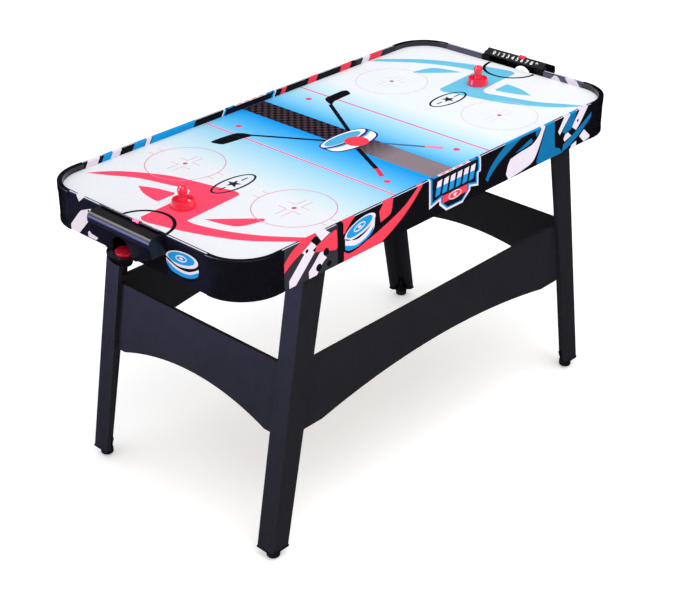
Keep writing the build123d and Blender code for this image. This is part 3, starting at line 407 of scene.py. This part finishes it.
class Film:
    """The ink on one surface: thin closed slabs, laid over one another in layers."""

    def __init__(self, place, folds=()):
        self.place = place
        self.folds = folds
        self.whole = bmesh.new()
        self.inks = []

    def lay(self, look, layer, *paths):
        if look not in self.inks:
            self.inks.append(look)
        for path in paths:
            slab = bmesh.new()
            points = [slab.verts.new((p[0], p[1], 0)) for p in path]
            if isinstance(path, Band):
                last = len(points) - 1
                for i in range(len(points) // 2 - 1):
                    slab.faces.new((points[i], points[i + 1], points[last - i - 1], points[last - i]))
            else:
                face = slab.faces.new(points)
                face.normal_update()
                bmesh.ops.triangulate(slab, faces=[face])
            for fold in self.folds:
                bmesh.ops.bisect_plane(slab, geom=slab.verts[:] + slab.edges[:] + slab.faces[:],
                                       plane_co=(0, fold, 0), plane_no=(0, 1, 0))
            raised = bmesh.ops.extrude_face_region(slab, geom=slab.faces[:])["geom"]
            for vertex in raised:
                if isinstance(vertex, bmesh.types.BMVert):
                    vertex.co.z = layer * LAYER
            for vertex in slab.verts:
                vertex.co = self.place(*vertex.co)
            bmesh.ops.recalc_face_normals(slab, faces=slab.faces[:])
            for face in slab.faces:
                face.material_index = self.inks.index(look)
            part = bpy.data.meshes.new("slab")
            slab.to_mesh(part)
            slab.free()
            self.whole.from_mesh(part)
            bpy.data.meshes.remove(part)

    def piece(self, name):
        mesh = bpy.data.meshes.new(name)
        self.whole.to_mesh(mesh)
        self.whole.free()
        for look in self.inks:
            mesh.materials.append(look)
        made = bpy.data.objects.new(name, mesh)
        scene.collection.objects.link(made)
        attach(made, "table")


def on_field(u, v, lift):
    return Vector((u * MM, v * MM, FIELD_TOP + lift))


def over_rail(v, lift):
    """(inward, up) on the apron's section: v goes up the outer face in height and on over the rail."""
    past = v * MM - RAIL_TOP + EDGE_ROUND
    bend = 2 * EDGE_ROUND
    if past <= 0:
        return -lift, v * MM
    if past < bend:
        angle = past / bend * math.pi / 2
        return (EDGE_ROUND - (EDGE_ROUND + lift) * math.cos(angle),
                RAIL_TOP - EDGE_ROUND + (EDGE_ROUND + lift) * math.sin(angle))
    if past < WALL:
        return past - EDGE_ROUND, RAIL_TOP + lift
    if past < WALL + bend:
        angle = (past - WALL) / bend * math.pi / 2
        return (WALL - EDGE_ROUND + (EDGE_ROUND + lift) * math.sin(angle),
                RAIL_TOP - EDGE_ROUND + (EDGE_ROUND + lift) * math.cos(angle))
    return WALL + lift, RAIL_TOP - EDGE_ROUND - (past - WALL - bend)


OUTER_EDGE = (RAIL_TOP - EDGE_ROUND) / MM
INNER_EDGE = OUTER_EDGE + WALL / MM
RAIL_END = INNER_EDGE + (2 * EDGE_ROUND + RAIL_TOP - EDGE_ROUND - FIELD_TOP) / MM
RAIL_FOLDS = [edge + EDGE_ROUND / MM * i / 2 for edge in (OUTER_EDGE, INNER_EDGE) for i in range(5)]
TOP = RAIL_TOP / MM
FOOT = APRON_BOTTOM / MM
PRINT_GAP = 0.2            # the print stops this far from the apron's ends
GOAL_HALF = 106            # the end print stops here, beside the goal housing
RAIL_LEAN = 15.0           # how far a leaning shape goes on along the rail while it crosses it


def wrapped(path):
    """Carry each stretch that runs along the rail's top edge over the rail and down to the field."""
    longer = []
    for here, there in zip(path, [*path[1:], path[0]]):
        longer.append(here)
        if abs(here[1] - TOP) < 0.01 and abs(there[1] - TOP) < 0.01:
            longer.append(Vector((here[0] + RAIL_LEAN, RAIL_END)))
            longer.append(Vector((there[0] + RAIL_LEAN, RAIL_END)))
    return longer


def turned(path):
    return type(path)(Vector((-p[0], -p[1])) for p in path)


# ---------------------------------------------------------------- inks
coral = ink("ink_coral", (240, 72, 104), holes=True)
sky = ink("ink_sky", (108, 196, 228), holes=True)
line_black = ink("ink_line_black", (20, 18, 24), holes=True)
line_pink = ink("ink_line_pink", (232, 74, 136), holes=True)
line_pale = ink("ink_line_pale", (226, 206, 222), holes=True)
ring_pink = ink("ink_ring_pink", (222, 134, 162), holes=True)
ring_faint = ink("ink_ring_faint", (232, 196, 210), holes=True)
dot_red = ink("ink_dot_red", (236, 72, 110), holes=True)
dot_rose = ink("ink_dot_rose", (196, 92, 124), holes=True)
field_white = ink("ink_field_white", (250, 248, 252), holes=True)
puck_purple = ink("ink_purple", (56, 46, 116), holes=True)
puck_blue = ink("ink_puck_blue", (78, 172, 220), holes=True)
puck_red = ink("ink_puck_red", (250, 62, 80), holes=True)
stick_grey = ink("ink_stick_grey", (84, 110, 140), holes=True)
tape_pink = ink("ink_tape_pink", (244, 130, 168), holes=True)
tape_red = ink("ink_tape_red", (226, 52, 78), holes=True)
emblem_grey = ink("ink_emblem", (44, 40, 56), holes=True)
apron_charcoal = ink("ink_charcoal", (50, 50, 56))
apron_red = ink("ink_red", (234, 62, 84))
apron_blue = ink("ink_blue", (4, 110, 162))
# the decal's own blue, also used as painted light: a lit copy of the apron blue on the rail's top and inner
# face
decal_and_painted_lit_rail_blue = ink("ink_decal_and_painted_lit_rail_blue", (20, 146, 214))
apron_pale = ink("ink_pale", (226, 216, 228))
apron_navy = ink("ink_navy", (23, 22, 38))
# painted highlight: a pale lavender line on the rail top stands for the shine along the rail's edge
rail_painted_highlight = ink("ink_rail_painted_highlight", (206, 204, 224))
# painted reflection: a lavender grey, paler than the navy print, that the rail's inner face shows from the
# bright field
rail_painted_reflection = ink("ink_rail_painted_reflection", (90, 86, 108))
apron_ink_black = ink("ink_black", (18, 17, 21))
checker = checker_ink()

# ---------------------------------------------------------------- field print
arrow = outline(
    [(-577, 311), (-536, 280), (-500, 237), (-454, 154), (-433, 82), (-419, 19), (-407, -29)],
    [(-411, -44), (-422, -50)],
    [(-587, -61)],
    [(-586, -92), (-563, -164), (-525, -238), (-471, -309), (-455, -330)],
    [(-478, -330)],
    [(-525, -281), (-575, -216), (-619, -120), (-647, -29), (-654, 10), (-645, 30)],
    [(-550, 35), (-493, 41)],
    [(-477, 54), (-476, 71)],
    [(-491, 123), (-513, 197), (-550, 262), (-577, 311)],
)
wedge_high = outline(
    [(-540, 162), (-521, 121), (-508, 71)],
    [(-513, 64)],
    [(-564, 63)],
    [(-566, 78), (-558, 123), (-540, 162)],
)
wedge_low = outline(
    [(-557, -83), (-500, -140), (-463, -180)],
    [(-471, -188)],
    [(-525, -170), (-543, -140), (-557, -83)],
)
puck_body = outline(
    [(-92, 0), (-84, 14), (-50, 25), (-8, 29), (34, 25), (68, 14), (76, 0)],
    [(75, -32), (62, -50), (30, -62), (-8, -66), (-46, -62), (-78, -50), (-91, -32)],
    [(-92, 0)],
)
puck_side = outline(
    [(-87, -10), (-56, -23), (-8, -28), (40, -23), (71, -10)],
    [(70, -31), (58, -46), (28, -57), (-8, -61), (-44, -57), (-74, -46), (-86, -31)],
    [(-87, -10)],
)
puck_side_blue = outline(
    [(-87, -10), (-56, -23), (-8, -28), (40, -23), (71, -10)],
    [(71, -16), (40, -29), (-8, -34), (-56, -29), (-87, -16)],
    [(-87, -10)],
)
blade_left = outline(
    [(-250, 222), (-241, 231), (-176, 226), (-160, 217), (-151, 202), (-147, 184)],
    [(-158, 182)],
    [(-176, 186), (-232, 194), (-243, 203), (-250, 222)],
)
blade_right = outline(
    [(133, 175), (146, 207), (160, 223), (180, 226), (229, 228)],
    [(240, 221), (236, 207), (227, 195)],
    [(164, 191), (144, 182), (133, 175)],
)


FIELD_SIDE = 330           # half of the printed width
RING_RADIUS = 98
RING_ROWS = (177, -190)
TICK_HALF = 0.8            # half the width of the short lines round a ring's middle
LONG_TICKS = ((-117, 20), (-35, 26), (9, 26), (97, 20))    # where each starts and how long it is
SHORT_TICK = 36
ENDS = (
    # side, swoosh, ring, middle of the emblem, middle of the rings, shift across the field
    (1, coral, ring_pink, Vector((-382, 6)), -380, 0),
    (-1, sky, ring_faint, Vector((-372, 22)), 374, 6),
)


def placed(path, shift, side):
    """Move a path, and turn the far end's half round the middle of the field."""
    moved = type(path)(Vector((p[0], p[1])) + shift for p in path)
    return moved if side > 0 else turned(moved)


def ring_marks(film, look, centre):
    """A face-off ring with its dot and the ticks round it."""
    for path in hoop(centre, RING_RADIUS, 2.4):
        film.lay(look, 2, path)
    film.lay(dot_rose, 3, disc(centre, 6))
    for x in (centre.x - 15, centre.x + 15):
        for start, length in LONG_TICKS:
            low = centre.y + start
            film.lay(look, 2, block(x - TICK_HALF, x + TICK_HALF, low, low + length))
    for y in (centre.y - 9, centre.y + 9):
        for start in (centre.x - 50, centre.x + 14):
            film.lay(look, 3, block(start, start + SHORT_TICK, y - TICK_HALF, y + TICK_HALF))


def print_field():
    film = Film(on_field)
    for side, swoosh, ring, emblem, ring_x, drift in ENDS:
        across = Vector((0, drift))
        for path in (arrow, wedge_high, wedge_low):
            film.lay(swoosh, 1, placed(path, across, side))
        film.lay(line_black, 3, placed(bow((-672, -3), 75, 8.5, -92, 92), across, side))
        for path in (*hoop((0, 0), 66, 6, squash=0.42), star((0, 0), 20),
                     bar((-46, 0), (-25, 0), 4), bar((25, 0), (46, 0), 4)):
            film.lay(emblem_grey, 3, placed(path, emblem, side))
        film.lay(line_pale, 1, block(*sorted((-178 * side, -170 * side)), -FIELD_SIDE, FIELD_SIDE))
        film.lay(line_pink, 2, block(*sorted((-176 * side, -172 * side)), -FIELD_SIDE, FIELD_SIDE))
        for ring_y in RING_ROWS:
            ring_marks(film, ring, Vector((ring_x, ring_y)))
        for row in (1, -1):
            film.lay(dot_red, 1, disc((-128 * side - 2, 251 * row + 2), 8.5))
    film.lay(checker, 1, block(-43, 36, -FIELD_SIDE, FIELD_SIDE))
    film.lay(line_black, 3, bar((-152, 189), (-46, 18), 9), bar((135, 182), (30, 16), 11))
    film.lay(stick_grey, 3, bar((32, -89), (88, -183), 9))
    film.lay(line_black, 3, bar((-34, -70), (-93, -183), 12))
    film.lay(line_black, 4, blade_left, blade_right)
    film.lay(tape_pink, 4, bar((87, -181), (111, -219), 13))
    film.lay(tape_red, 4, bar((-91, -181), (-116, -221), 12))
    film.lay(puck_purple, 4, puck_body)
    film.lay(field_white, 5, disc((-8, 3), 78, squash=0.29), puck_side)
    film.lay(puck_blue, 6, disc((-12, 2), 64, squash=0.31), puck_side_blue)
    film.lay(puck_red, 7, disc((-1, -35), 31))
    film.piece("field_art")


# ---------------------------------------------------------------- side apron print
def side_art(film):
    """The long apron's print, laid out as it reads on the -Y side."""
    def lay(look, layer, *paths):
        film.lay(look, layer, *[wrapped(path) for path in paths])

    left = side_low.x / MM + PRINT_GAP
    right = side_high.x / MM - PRINT_GAP
    lay(apron_charcoal, 1, block(left, -399, FOOT, RAIL_END))
    lay(apron_red, 2, outline([(-570, 752)], [(-570, 772)], [(-552, 791), (-534, 804), (-516, 811)],
                              [(-465, 811)],
                              [(-507, 788), (-540, 773), (-570, 752)]))
    lay(apron_pale, 2, outline([(-551, 714)], [(-551, 732)], [(-504, 779)],
                               [(-509, 787), (-482, 801), (-466, 784)],
                               [(-472, 772)], [(-531, 714)]))
    lay(apron_pale, 2, outline([(-465, 811)], [(-435, 811)], [(-423, 802)], [(-451, 792)]))
    lay(apron_ink_black, 3, outline([(-484, 803)], [(-470, 811)], [(-452, 792)], [(-466, 786)]))
    lay(apron_red, 2, outline([(-478, 779), (-450, 791), (-410, 802), (-402, 799)],
                              [(-400, 770), (-400, 757)],
                              [(-406, 753)], [(-440, 763), (-472, 772)]))
    lay(apron_pale, 2, outline([(-456, 765)], [(-445, 764), (-440, 752), (-434, 746)], [(-447, 737)],
                               [(-466, 714)],
                               [(-490, 714)], [(-491, 731)], [(-475, 745)]))
    lay(apron_ink_black, 3, disc((-496, 784), 4.5, count=20), disc((-436, 760), 9, count=24))
    lay(apron_ink_black, 3, disc((-459, 730), 9, count=24), star((-426, 728), 9, points=4, inner=0.7))
    lay(apron_ink_black, 2, block(-399, -381, FOOT, RAIL_END))
    lay(apron_red, 2, outline([(-386, 811)], [(-345, 811)], [(-360, 800), (-374, 784)], [(-381, 781)]))
    lay(apron_red, 2, outline([(-250, 811)], [(-216, 811)], [(-220, 786), (-228, 775), (-258, 767)],
                              [(-263, 795)]))
    lay(apron_red, 1, outline([(-379, 742)],
                              [(-345, 734), (-295, 740), (-232, 758), (-175, 780), (-130, 811)],
                              [(-112, 811)], [(-150, 775), (-200, 741), (-257, 714)], [(-379, 714)]))
    lay(apron_ink_black, 2, outline([(-381, 770), (-366, 793), (-324, 800), (-284, 806), (-272, 797)],
                                    [(-276, 762), (-290, 745), (-325, 732), (-360, 728), (-379, 738)],
                                    [(-381, 770)]))
    lay(apron_pale, 3, outline([(-375, 768), (-340, 754), (-306, 762), (-277, 784)],
                               [(-280, 762), (-294, 748), (-326, 737), (-358, 734), (-375, 742)],
                               [(-375, 768)]))
    lay(decal_and_painted_lit_rail_blue, 4, outline([(-375, 752), (-340, 741), (-306, 748), (-281, 766)],
                               [(-284, 756), (-298, 745), (-328, 737), (-358, 734), (-375, 741)],
                               [(-375, 752)]))
    lay(apron_pale, 3, disc((-326, 781), 52, squash=0.38, tilt=13))
    lay(decal_and_painted_lit_rail_blue, 4, disc((-328, 782), 44, squash=0.36, tilt=13))
    lay(apron_pale, 5, *hoop((-328, 782), 18, 3, squash=0.38, tilt=13), disc((-328, 782), 6, squash=0.5))
    lay(apron_pale, 2, outline([(-90, 811)], [(-87, 738)], [(-50, 748)], [(-50, 737)],
                               [(-28, 718), (-24, 714)], [(40, 714)], [(44, 720), (66, 737)], [(66, 746)],
                               [(97, 739)], [(96, 772), (104, 776), (102, 811)]))
    lay(decal_and_painted_lit_rail_blue, 3, outline([(-85, 811)], [(-82, 745)], [(-45, 754)], [(-45, 740)], [(-21, 719)],
                               [(37, 719)], [(61, 740)], [(61, 752)], [(92, 745)],
                               [(91, 775), (99, 780), (97, 811)]))
    lay(apron_navy, 4, outline([(-79, 811)], [(-76, 752)], [(-40, 760)], [(-40, 741)], [(-18, 722)],
                               [(34, 722)], [(56, 741)], [(56, 758)], [(87, 751)],
                               [(86, 776), (93, 782), (92, 811)]))
    for slot in range(6):
        foot = -66 + 25 * slot
        lay(decal_and_painted_lit_rail_blue, 5, shape((foot, 763), (foot + 17, 765), (foot + 21, 785), (foot + 4, 785)))
        lay(apron_pale, 5, shape((foot + 4, 785), (foot + 21, 785), (foot + 24, 802), (foot + 7, 800)))
    lay(apron_red, 5, block(-38, 54, 738, 757))
    lay(apron_pale, 6, *hoop((8, 746), 23, 2.5, squash=0.42), star((8, 746), 8))
    lay(apron_blue, 2, outline([(125, 744)], [(140, 768), (168, 792), (200, 811)], [(262, 811)],
                               [(215, 790), (175, 771), (143, 747), (135, 735)]))
    lay(apron_blue, 2, outline([(241, 777)], [(280, 789), (304, 797)], [(312, 788)], [(307, 783)],
                               [(275, 778)]))
    lay(apron_pale, 2, outline([(207, 731)], [(213, 752), (222, 767)],
                               [(262, 773), (310, 778), (335, 794), (346, 811)],
                               [(362, 811)], [(340, 762), (322, 734), (305, 725)], [(267, 719), (218, 714)]))
    lay(apron_blue, 2, outline([(322, 811)], [(343, 811)], [(335, 798)], [(325, 795)]))
    lay(apron_blue, 2, outline([(365, 811)], [(401, 811)], [(404, 795), (406, 765), (411, 738)],
                               [(430, 731)],
                               [(445, 714)], [(340, 714)], [(334, 727), (352, 775), (365, 811)]))
    lay(apron_pale, 2, outline([(442, 811)], [(470, 811)], [(443, 783), (428, 767)], [(420, 778)]))
    lay(apron_blue, 2, outline([(470, 811)], [(497, 811)], [(489, 787), (475, 768)], [(450, 765)],
                               [(438, 772)]))
    lay(apron_pale, 2, outline([(510, 811)], [(547, 811)], [(517, 775), (500, 760)], [(481, 773)],
                               [(495, 793)]))
    lay(apron_ink_black, 3, disc((505, 784), 4, count=20))
    lay(apron_pale, 2, outline([(452, 762)], [(464, 764)], [(480, 750)], [(452, 742)], [(446, 750)]))
    lay(apron_blue, 2, outline([(442, 715)], [(447, 735)], [(480, 748), (517, 765), (565, 791)],
                               [(565, 776)],
                               [(515, 743), (467, 720)]))
    lay(apron_pale, 2, outline([(517, 737)], [(537, 750)], [(565, 726)], [(565, 720)], [(540, 715)]))
    lay(apron_pale, 2, outline([(480, 715)], [(485, 723)], [(505, 728)], [(506, 715)]))
    # painted light: the apron's blue bands repeat brighter on the rail's top and inner face
    for start, end in ((200, 343), (365, 401), (470, 497)):
        lay(decal_and_painted_lit_rail_blue, 4, outline([(start, TOP + 0.5)], [(end, TOP + 0.5)], [(end + RAIL_LEAN, RAIL_END)],
                                   [(start + RAIL_LEAN, RAIL_END)]))
    # painted highlight along the top of the long rail
    lay(rail_painted_highlight, 1.5, block(left, right, TOP + 3.0, TOP + 6.0))
    film.lay(apron_pale, 5, block(-52, 66, TOP + 1.0, INNER_EDGE))
    for start in (-74, 68):
        film.lay(decal_and_painted_lit_rail_blue, 5, outline([(start, TOP + 1.0)], [(start + 20, TOP + 1.0)],
                                        [(start + 24, INNER_EDGE)],
                                        [(start + 4, INNER_EDGE)]))
    for start in (-40, -14, 12, 38):
        film.lay(apron_red, 6, block(start, start + 16, TOP + 3.5, INNER_EDGE - 2.5))


def end_art(film):
    """The short apron's print, laid out as it reads on the -X end."""
    def lay(look, layer, *paths):
        film.lay(look, layer, *[wrapped(path) for path in paths])

    reach = end_high.y / MM - PRINT_GAP
    for side in (-1, 1):
        lay(apron_navy, 1, block(*sorted((GOAL_HALF * side, reach * side)), FOOT, INNER_EDGE + 2))
        # painted highlight along the top of the end rail
        lay(rail_painted_highlight, 1.5, block(*sorted((GOAL_HALF * side, reach * side)), TOP + 3.0, TOP + 7.0))
        # painted reflection on the end rail's inner face, from its top edge down to the field
        lay(rail_painted_reflection, 1, block(*sorted((GOAL_HALF * side, reach * side)), INNER_EDGE + 2, RAIL_END))
    lay(apron_pale, 2, outline([(reach, 728)], [(195, 771), (181, 780), (150, 793)],
                               [(160, 776), (166, 755)],
                               [(203, 714)], [(reach, 714)]))
    lay(apron_pale, 2, outline([(202, 811)], [(177, 811)], [(194, 797)]))
    lay(apron_pale, 3, outline([(214, INNER_EDGE)], [(176, INNER_EDGE)], [(189, RAIL_END)],
                               [(227, RAIL_END)]))
    lay(apron_pale, 3, outline([(131, RAIL_END)], [(166, RAIL_END)], [(152, INNER_EDGE + 3)],
                               [(143, INNER_EDGE + 3)]))
    lay(apron_ink_black, 3, disc((161, 784), 3, count=16))
    lay(apron_pale, 2, outline([(170, 727)], [(164, 733)], [(158, 728)], [(133, 725)], [(142, 716)],
                               [(169, 716)]))
    lay(apron_ink_black, 2, outline([(-101, 775), (-114, 792), (-156, 800), (-199, 794), (-213, 775)],
                                    [(-212, 752), (-196, 733), (-160, 723), (-120, 727), (-103, 742)],
                                    [(-101, 775)]))
    lay(apron_pale, 3, outline([(-104, 762), (-138, 749), (-176, 750), (-209, 768)],
                               [(-208, 755), (-194, 742), (-160, 733), (-122, 736), (-105, 748)],
                               [(-104, 762)]))
    lay(decal_and_painted_lit_rail_blue, 4, outline([(-105, 753), (-138, 741), (-176, 742), (-208, 758)],
                               [(-207, 750), (-193, 739), (-160, 730), (-122, 733), (-106, 745)],
                               [(-105, 753)]))
    lay(apron_pale, 3, disc((-156, 771.5), 53, squash=0.36, tilt=-9))
    lay(decal_and_painted_lit_rail_blue, 4, disc((-154, 773), 44, squash=0.33, tilt=-9))
    lay(apron_pale, 5, *hoop((-154, 773), 17, 3, squash=0.38, tilt=-9), disc((-154, 773), 6, squash=0.45))
    lay(apron_ink_black, 6, outline([(-104, 764), (-138, 752), (-176, 753), (-210, 770)],
                                    [(-210, 766), (-176, 748.5), (-138, 747.5), (-104, 760)], [(-104, 764)]))


def print_aprons():
    def front(u, v, lift):
        inward, up = over_rail(v, lift)
        return Vector((u * MM, inward - HALF_WIDTH, up))

    def rear(u, v, lift):
        inward, up = over_rail(v, lift)
        return Vector((-u * MM, HALF_WIDTH - inward, up))

    def left(u, v, lift):
        inward, up = over_rail(v, lift)
        return Vector((inward - HALF_LENGTH, u * MM, up))

    def right(u, v, lift):
        inward, up = over_rail(v, lift)
        return Vector((HALF_LENGTH - inward, -u * MM, up))

    for name, place, art in (("front", front, side_art), ("rear", rear, side_art),
                             ("left", left, end_art), ("right", right, end_art)):
        film = Film(place, RAIL_FOLDS)
        art(film)
        film.piece(f"apron_art_{name}")


print_field()
print_aprons()


# ================================================================ numbers on the scorers
PLATE_THICK = 0.0025
PLATE_WIDE = 0.024
PLATE_RISE = 7.2
PLATE_RUN = 10.5
PLATE_TILT = math.atan2(PLATE_RISE, PLATE_RUN)     # the housing's slope under the plate
FIGURE_SIZE = 0.0165
FIGURE_SWELL = 0.0005      # makes the strokes bolder
FIGURE_PITCH = 0.016
FIGURE_START = 0.072       # the 0 stands this far from the middle of the plate
FIGURE_FOOT = 0.24         # share of the plate's width that lies below the figures


def figure_mesh(figure):
    curve = bpy.data.curves.new("figure", "FONT")
    curve.body = str(figure)
    curve.size = FIGURE_SIZE
    curve.offset = FIGURE_SWELL
    curve.align_x = "CENTER"
    curve.extrude = 3 * LAYER
    holder = bpy.data.objects.new("figure", curve)
    scene.collection.objects.link(holder)
    bpy.context.view_layer.update()
    mesh = bpy.data.meshes.new_from_object(holder)
    bpy.data.objects.remove(holder)
    bpy.data.curves.remove(curve)
    return mesh


def number_plate_text():
    """White figures 0 to 9 along each sloping plate."""
    look = plastic("figure_white", (240, 240, 242), 0.4, tone=0.05, patch=0.01, grain=0.0006, depth=0.00001)
    plane_up = Vector((math.cos(PLATE_TILT), 0, math.sin(PLATE_TILT)))
    normal = Vector((-math.sin(PLATE_TILT), 0, math.cos(PLATE_TILT)))
    axes = Matrix((Vector((0, -1, 0)), plane_up, normal)).transposed().to_4x4()
    for end, side in (("right", 1), ("left", -1)):
        low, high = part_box(f"number_plate_{end}")
        near = low.x if side > 0 else -high.x
        foot = Vector((near + PLATE_THICK * math.sin(PLATE_TILT), 0, low.z))
        start = foot + normal * (PLATE_THICK + LAYER) + plane_up * (PLATE_WIDE * FIGURE_FOOT)
        sheet = bmesh.new()
        for figure in range(10):
            mesh = figure_mesh(figure)
            across = Vector((0, FIGURE_START - FIGURE_PITCH * figure, 0))
            mesh.transform(Matrix.Translation(start + across) @ axes)
            sheet.from_mesh(mesh)
            bpy.data.meshes.remove(mesh)
        bmesh.ops.remove_doubles(sheet, verts=sheet.verts[:], dist=1e-6)
        figures = bpy.data.meshes.new(f"figures_{end}")
        sheet.to_mesh(figures)
        sheet.free()
        if side < 0:
            figures.transform(Matrix.Rotation(math.pi, 4, "Z"))
        figures.materials.append(look)
        made = bpy.data.objects.new(f"figures_{end}", figures)
        scene.collection.objects.link(made)
        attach(made, "table")


number_plate_text()


# ================================================================ camera, floor and light
CAMERA_TURN = (-45.31, 27.91, -0.88)               # azimuth, elevation and roll in degrees
ORIGIN_SEEN = Vector((0.1271, -0.3722, -4.033))    # the frame's origin in the camera's own axes
LENS = 77.84
LENS_SHIFT = (0.0584, -0.0435)
FLOOR_REACH = 14.0
FLOOR_GLOW = 0.25
WORLD_GLOW = 0.95
TABLE_MIDDLE = (0, 0, 0.6)
NEAR_GOAL = (-0.7, 0, 0.8)
LAMPS = (
    # name, place, what it points at, size, watts, colour
    ("key", (-0.9, -1.8, 4.1), TABLE_MIDDLE, (3.0, 3.0), 66.0, (1.0, 1.0, 1.0)),
    ("lavender", (-3.16, 1.98, 1.2), NEAR_GOAL, (1.2, 2.4), 130.0, (0.45, 0.47, 1.0)),
    ("cream", (-1.18, 1.99, 3.26), NEAR_GOAL, (2.4, 1.6), 90.0, (1.0, 0.97, 0.88)),
)


def make_camera():
    azimuth, elevation, roll = (math.radians(a) for a in CAMERA_TURN)
    back = Vector((math.sin(azimuth) * math.cos(elevation), -math.cos(azimuth) * math.cos(elevation),
                   math.sin(elevation)))
    level = Vector((math.cos(azimuth), math.sin(azimuth), 0))
    up = back.cross(level)
    right = math.cos(roll) * level + math.sin(roll) * up
    top = math.cos(roll) * up - math.sin(roll) * level
    turn = Matrix((right, top, back)).transposed()
    data = bpy.data.cameras.new("camera")
    data.sensor_width = 36.0
    data.lens = LENS
    data.shift_x, data.shift_y = LENS_SHIFT
    data.clip_end = 60.0
    camera = bpy.data.objects.new("camera", data)
    scene.collection.objects.link(camera)
    camera.matrix_world = Matrix.Translation(turn @ -ORIGIN_SEEN) @ turn.to_4x4()
    scene.camera = camera


def make_floor():
    mesh = bpy.data.meshes.new("floor")
    reach = FLOOR_REACH
    corners = [(-reach, -reach, 0), (reach, -reach, 0), (reach, reach, 0), (-reach, reach, 0)]
    mesh.from_pydata(corners, [], [(0, 1, 2, 3)])
    look = Surface("floor")
    look.finish(rgb(252, 252, 252), 0.9, tone=0.01, patch=0.8, grain=0.004, depth=0.00001, scuff=0.02)
    look.set(Specular_IOR_Level=0.0, Emission_Color=(1.0, 1.0, 1.0, 1.0), Emission_Strength=FLOOR_GLOW)
    mesh.materials.append(look.material)
    floor = bpy.data.objects.new("floor", mesh)
    floor.visible_glossy = False
    scene.collection.objects.link(floor)


def area_light(name, place, target, size, power, colour):
    """A soft lamp. Only the key lights surfaces, and the others show as highlights alone."""
    data = bpy.data.lights.new(name, "AREA")
    data.shape = "RECTANGLE"
    data.size, data.size_y = size
    data.energy = power
    data.color = colour
    lamp = bpy.data.objects.new(name, data)
    lamp.visible_diffuse = name == "key"
    scene.collection.objects.link(lamp)
    lamp.location = place
    lamp.rotation_euler = (Vector(target) - Vector(place)).to_track_quat("-Z", "Y").to_euler()


def make_world():
    """Even pale surroundings, a little greyer at the horizon, that shiny surfaces don't mirror."""
    world = bpy.data.worlds.new("studio")
    world.use_nodes = True
    tree = world.node_tree
    backdrop = tree.nodes["Background"]
    backdrop.inputs["Strength"].default_value = WORLD_GLOW
    place = tree.nodes.new("ShaderNodeTexCoord")
    parts = tree.nodes.new("ShaderNodeSeparateXYZ")
    tree.links.new(place.outputs["Generated"], parts.inputs[0])
    fade = tree.nodes.new("ShaderNodeValToRGB")
    tree.links.new(parts.outputs["Z"], fade.inputs["Fac"])
    fade.color_ramp.elements[0].position = 0.0
    fade.color_ramp.elements[0].color = (0.90, 0.91, 0.93, 1.0)
    fade.color_ramp.elements[1].position = 0.18
    fade.color_ramp.elements[1].color = (0.98, 0.99, 1.0, 1.0)
    tree.links.new(fade.outputs["Color"], backdrop.inputs["Color"])
    world.cycles_visibility.glossy = False
    scene.world = world


make_camera()
make_floor()
make_world()
for lamp_row in LAMPS:
    area_light(*lamp_row)
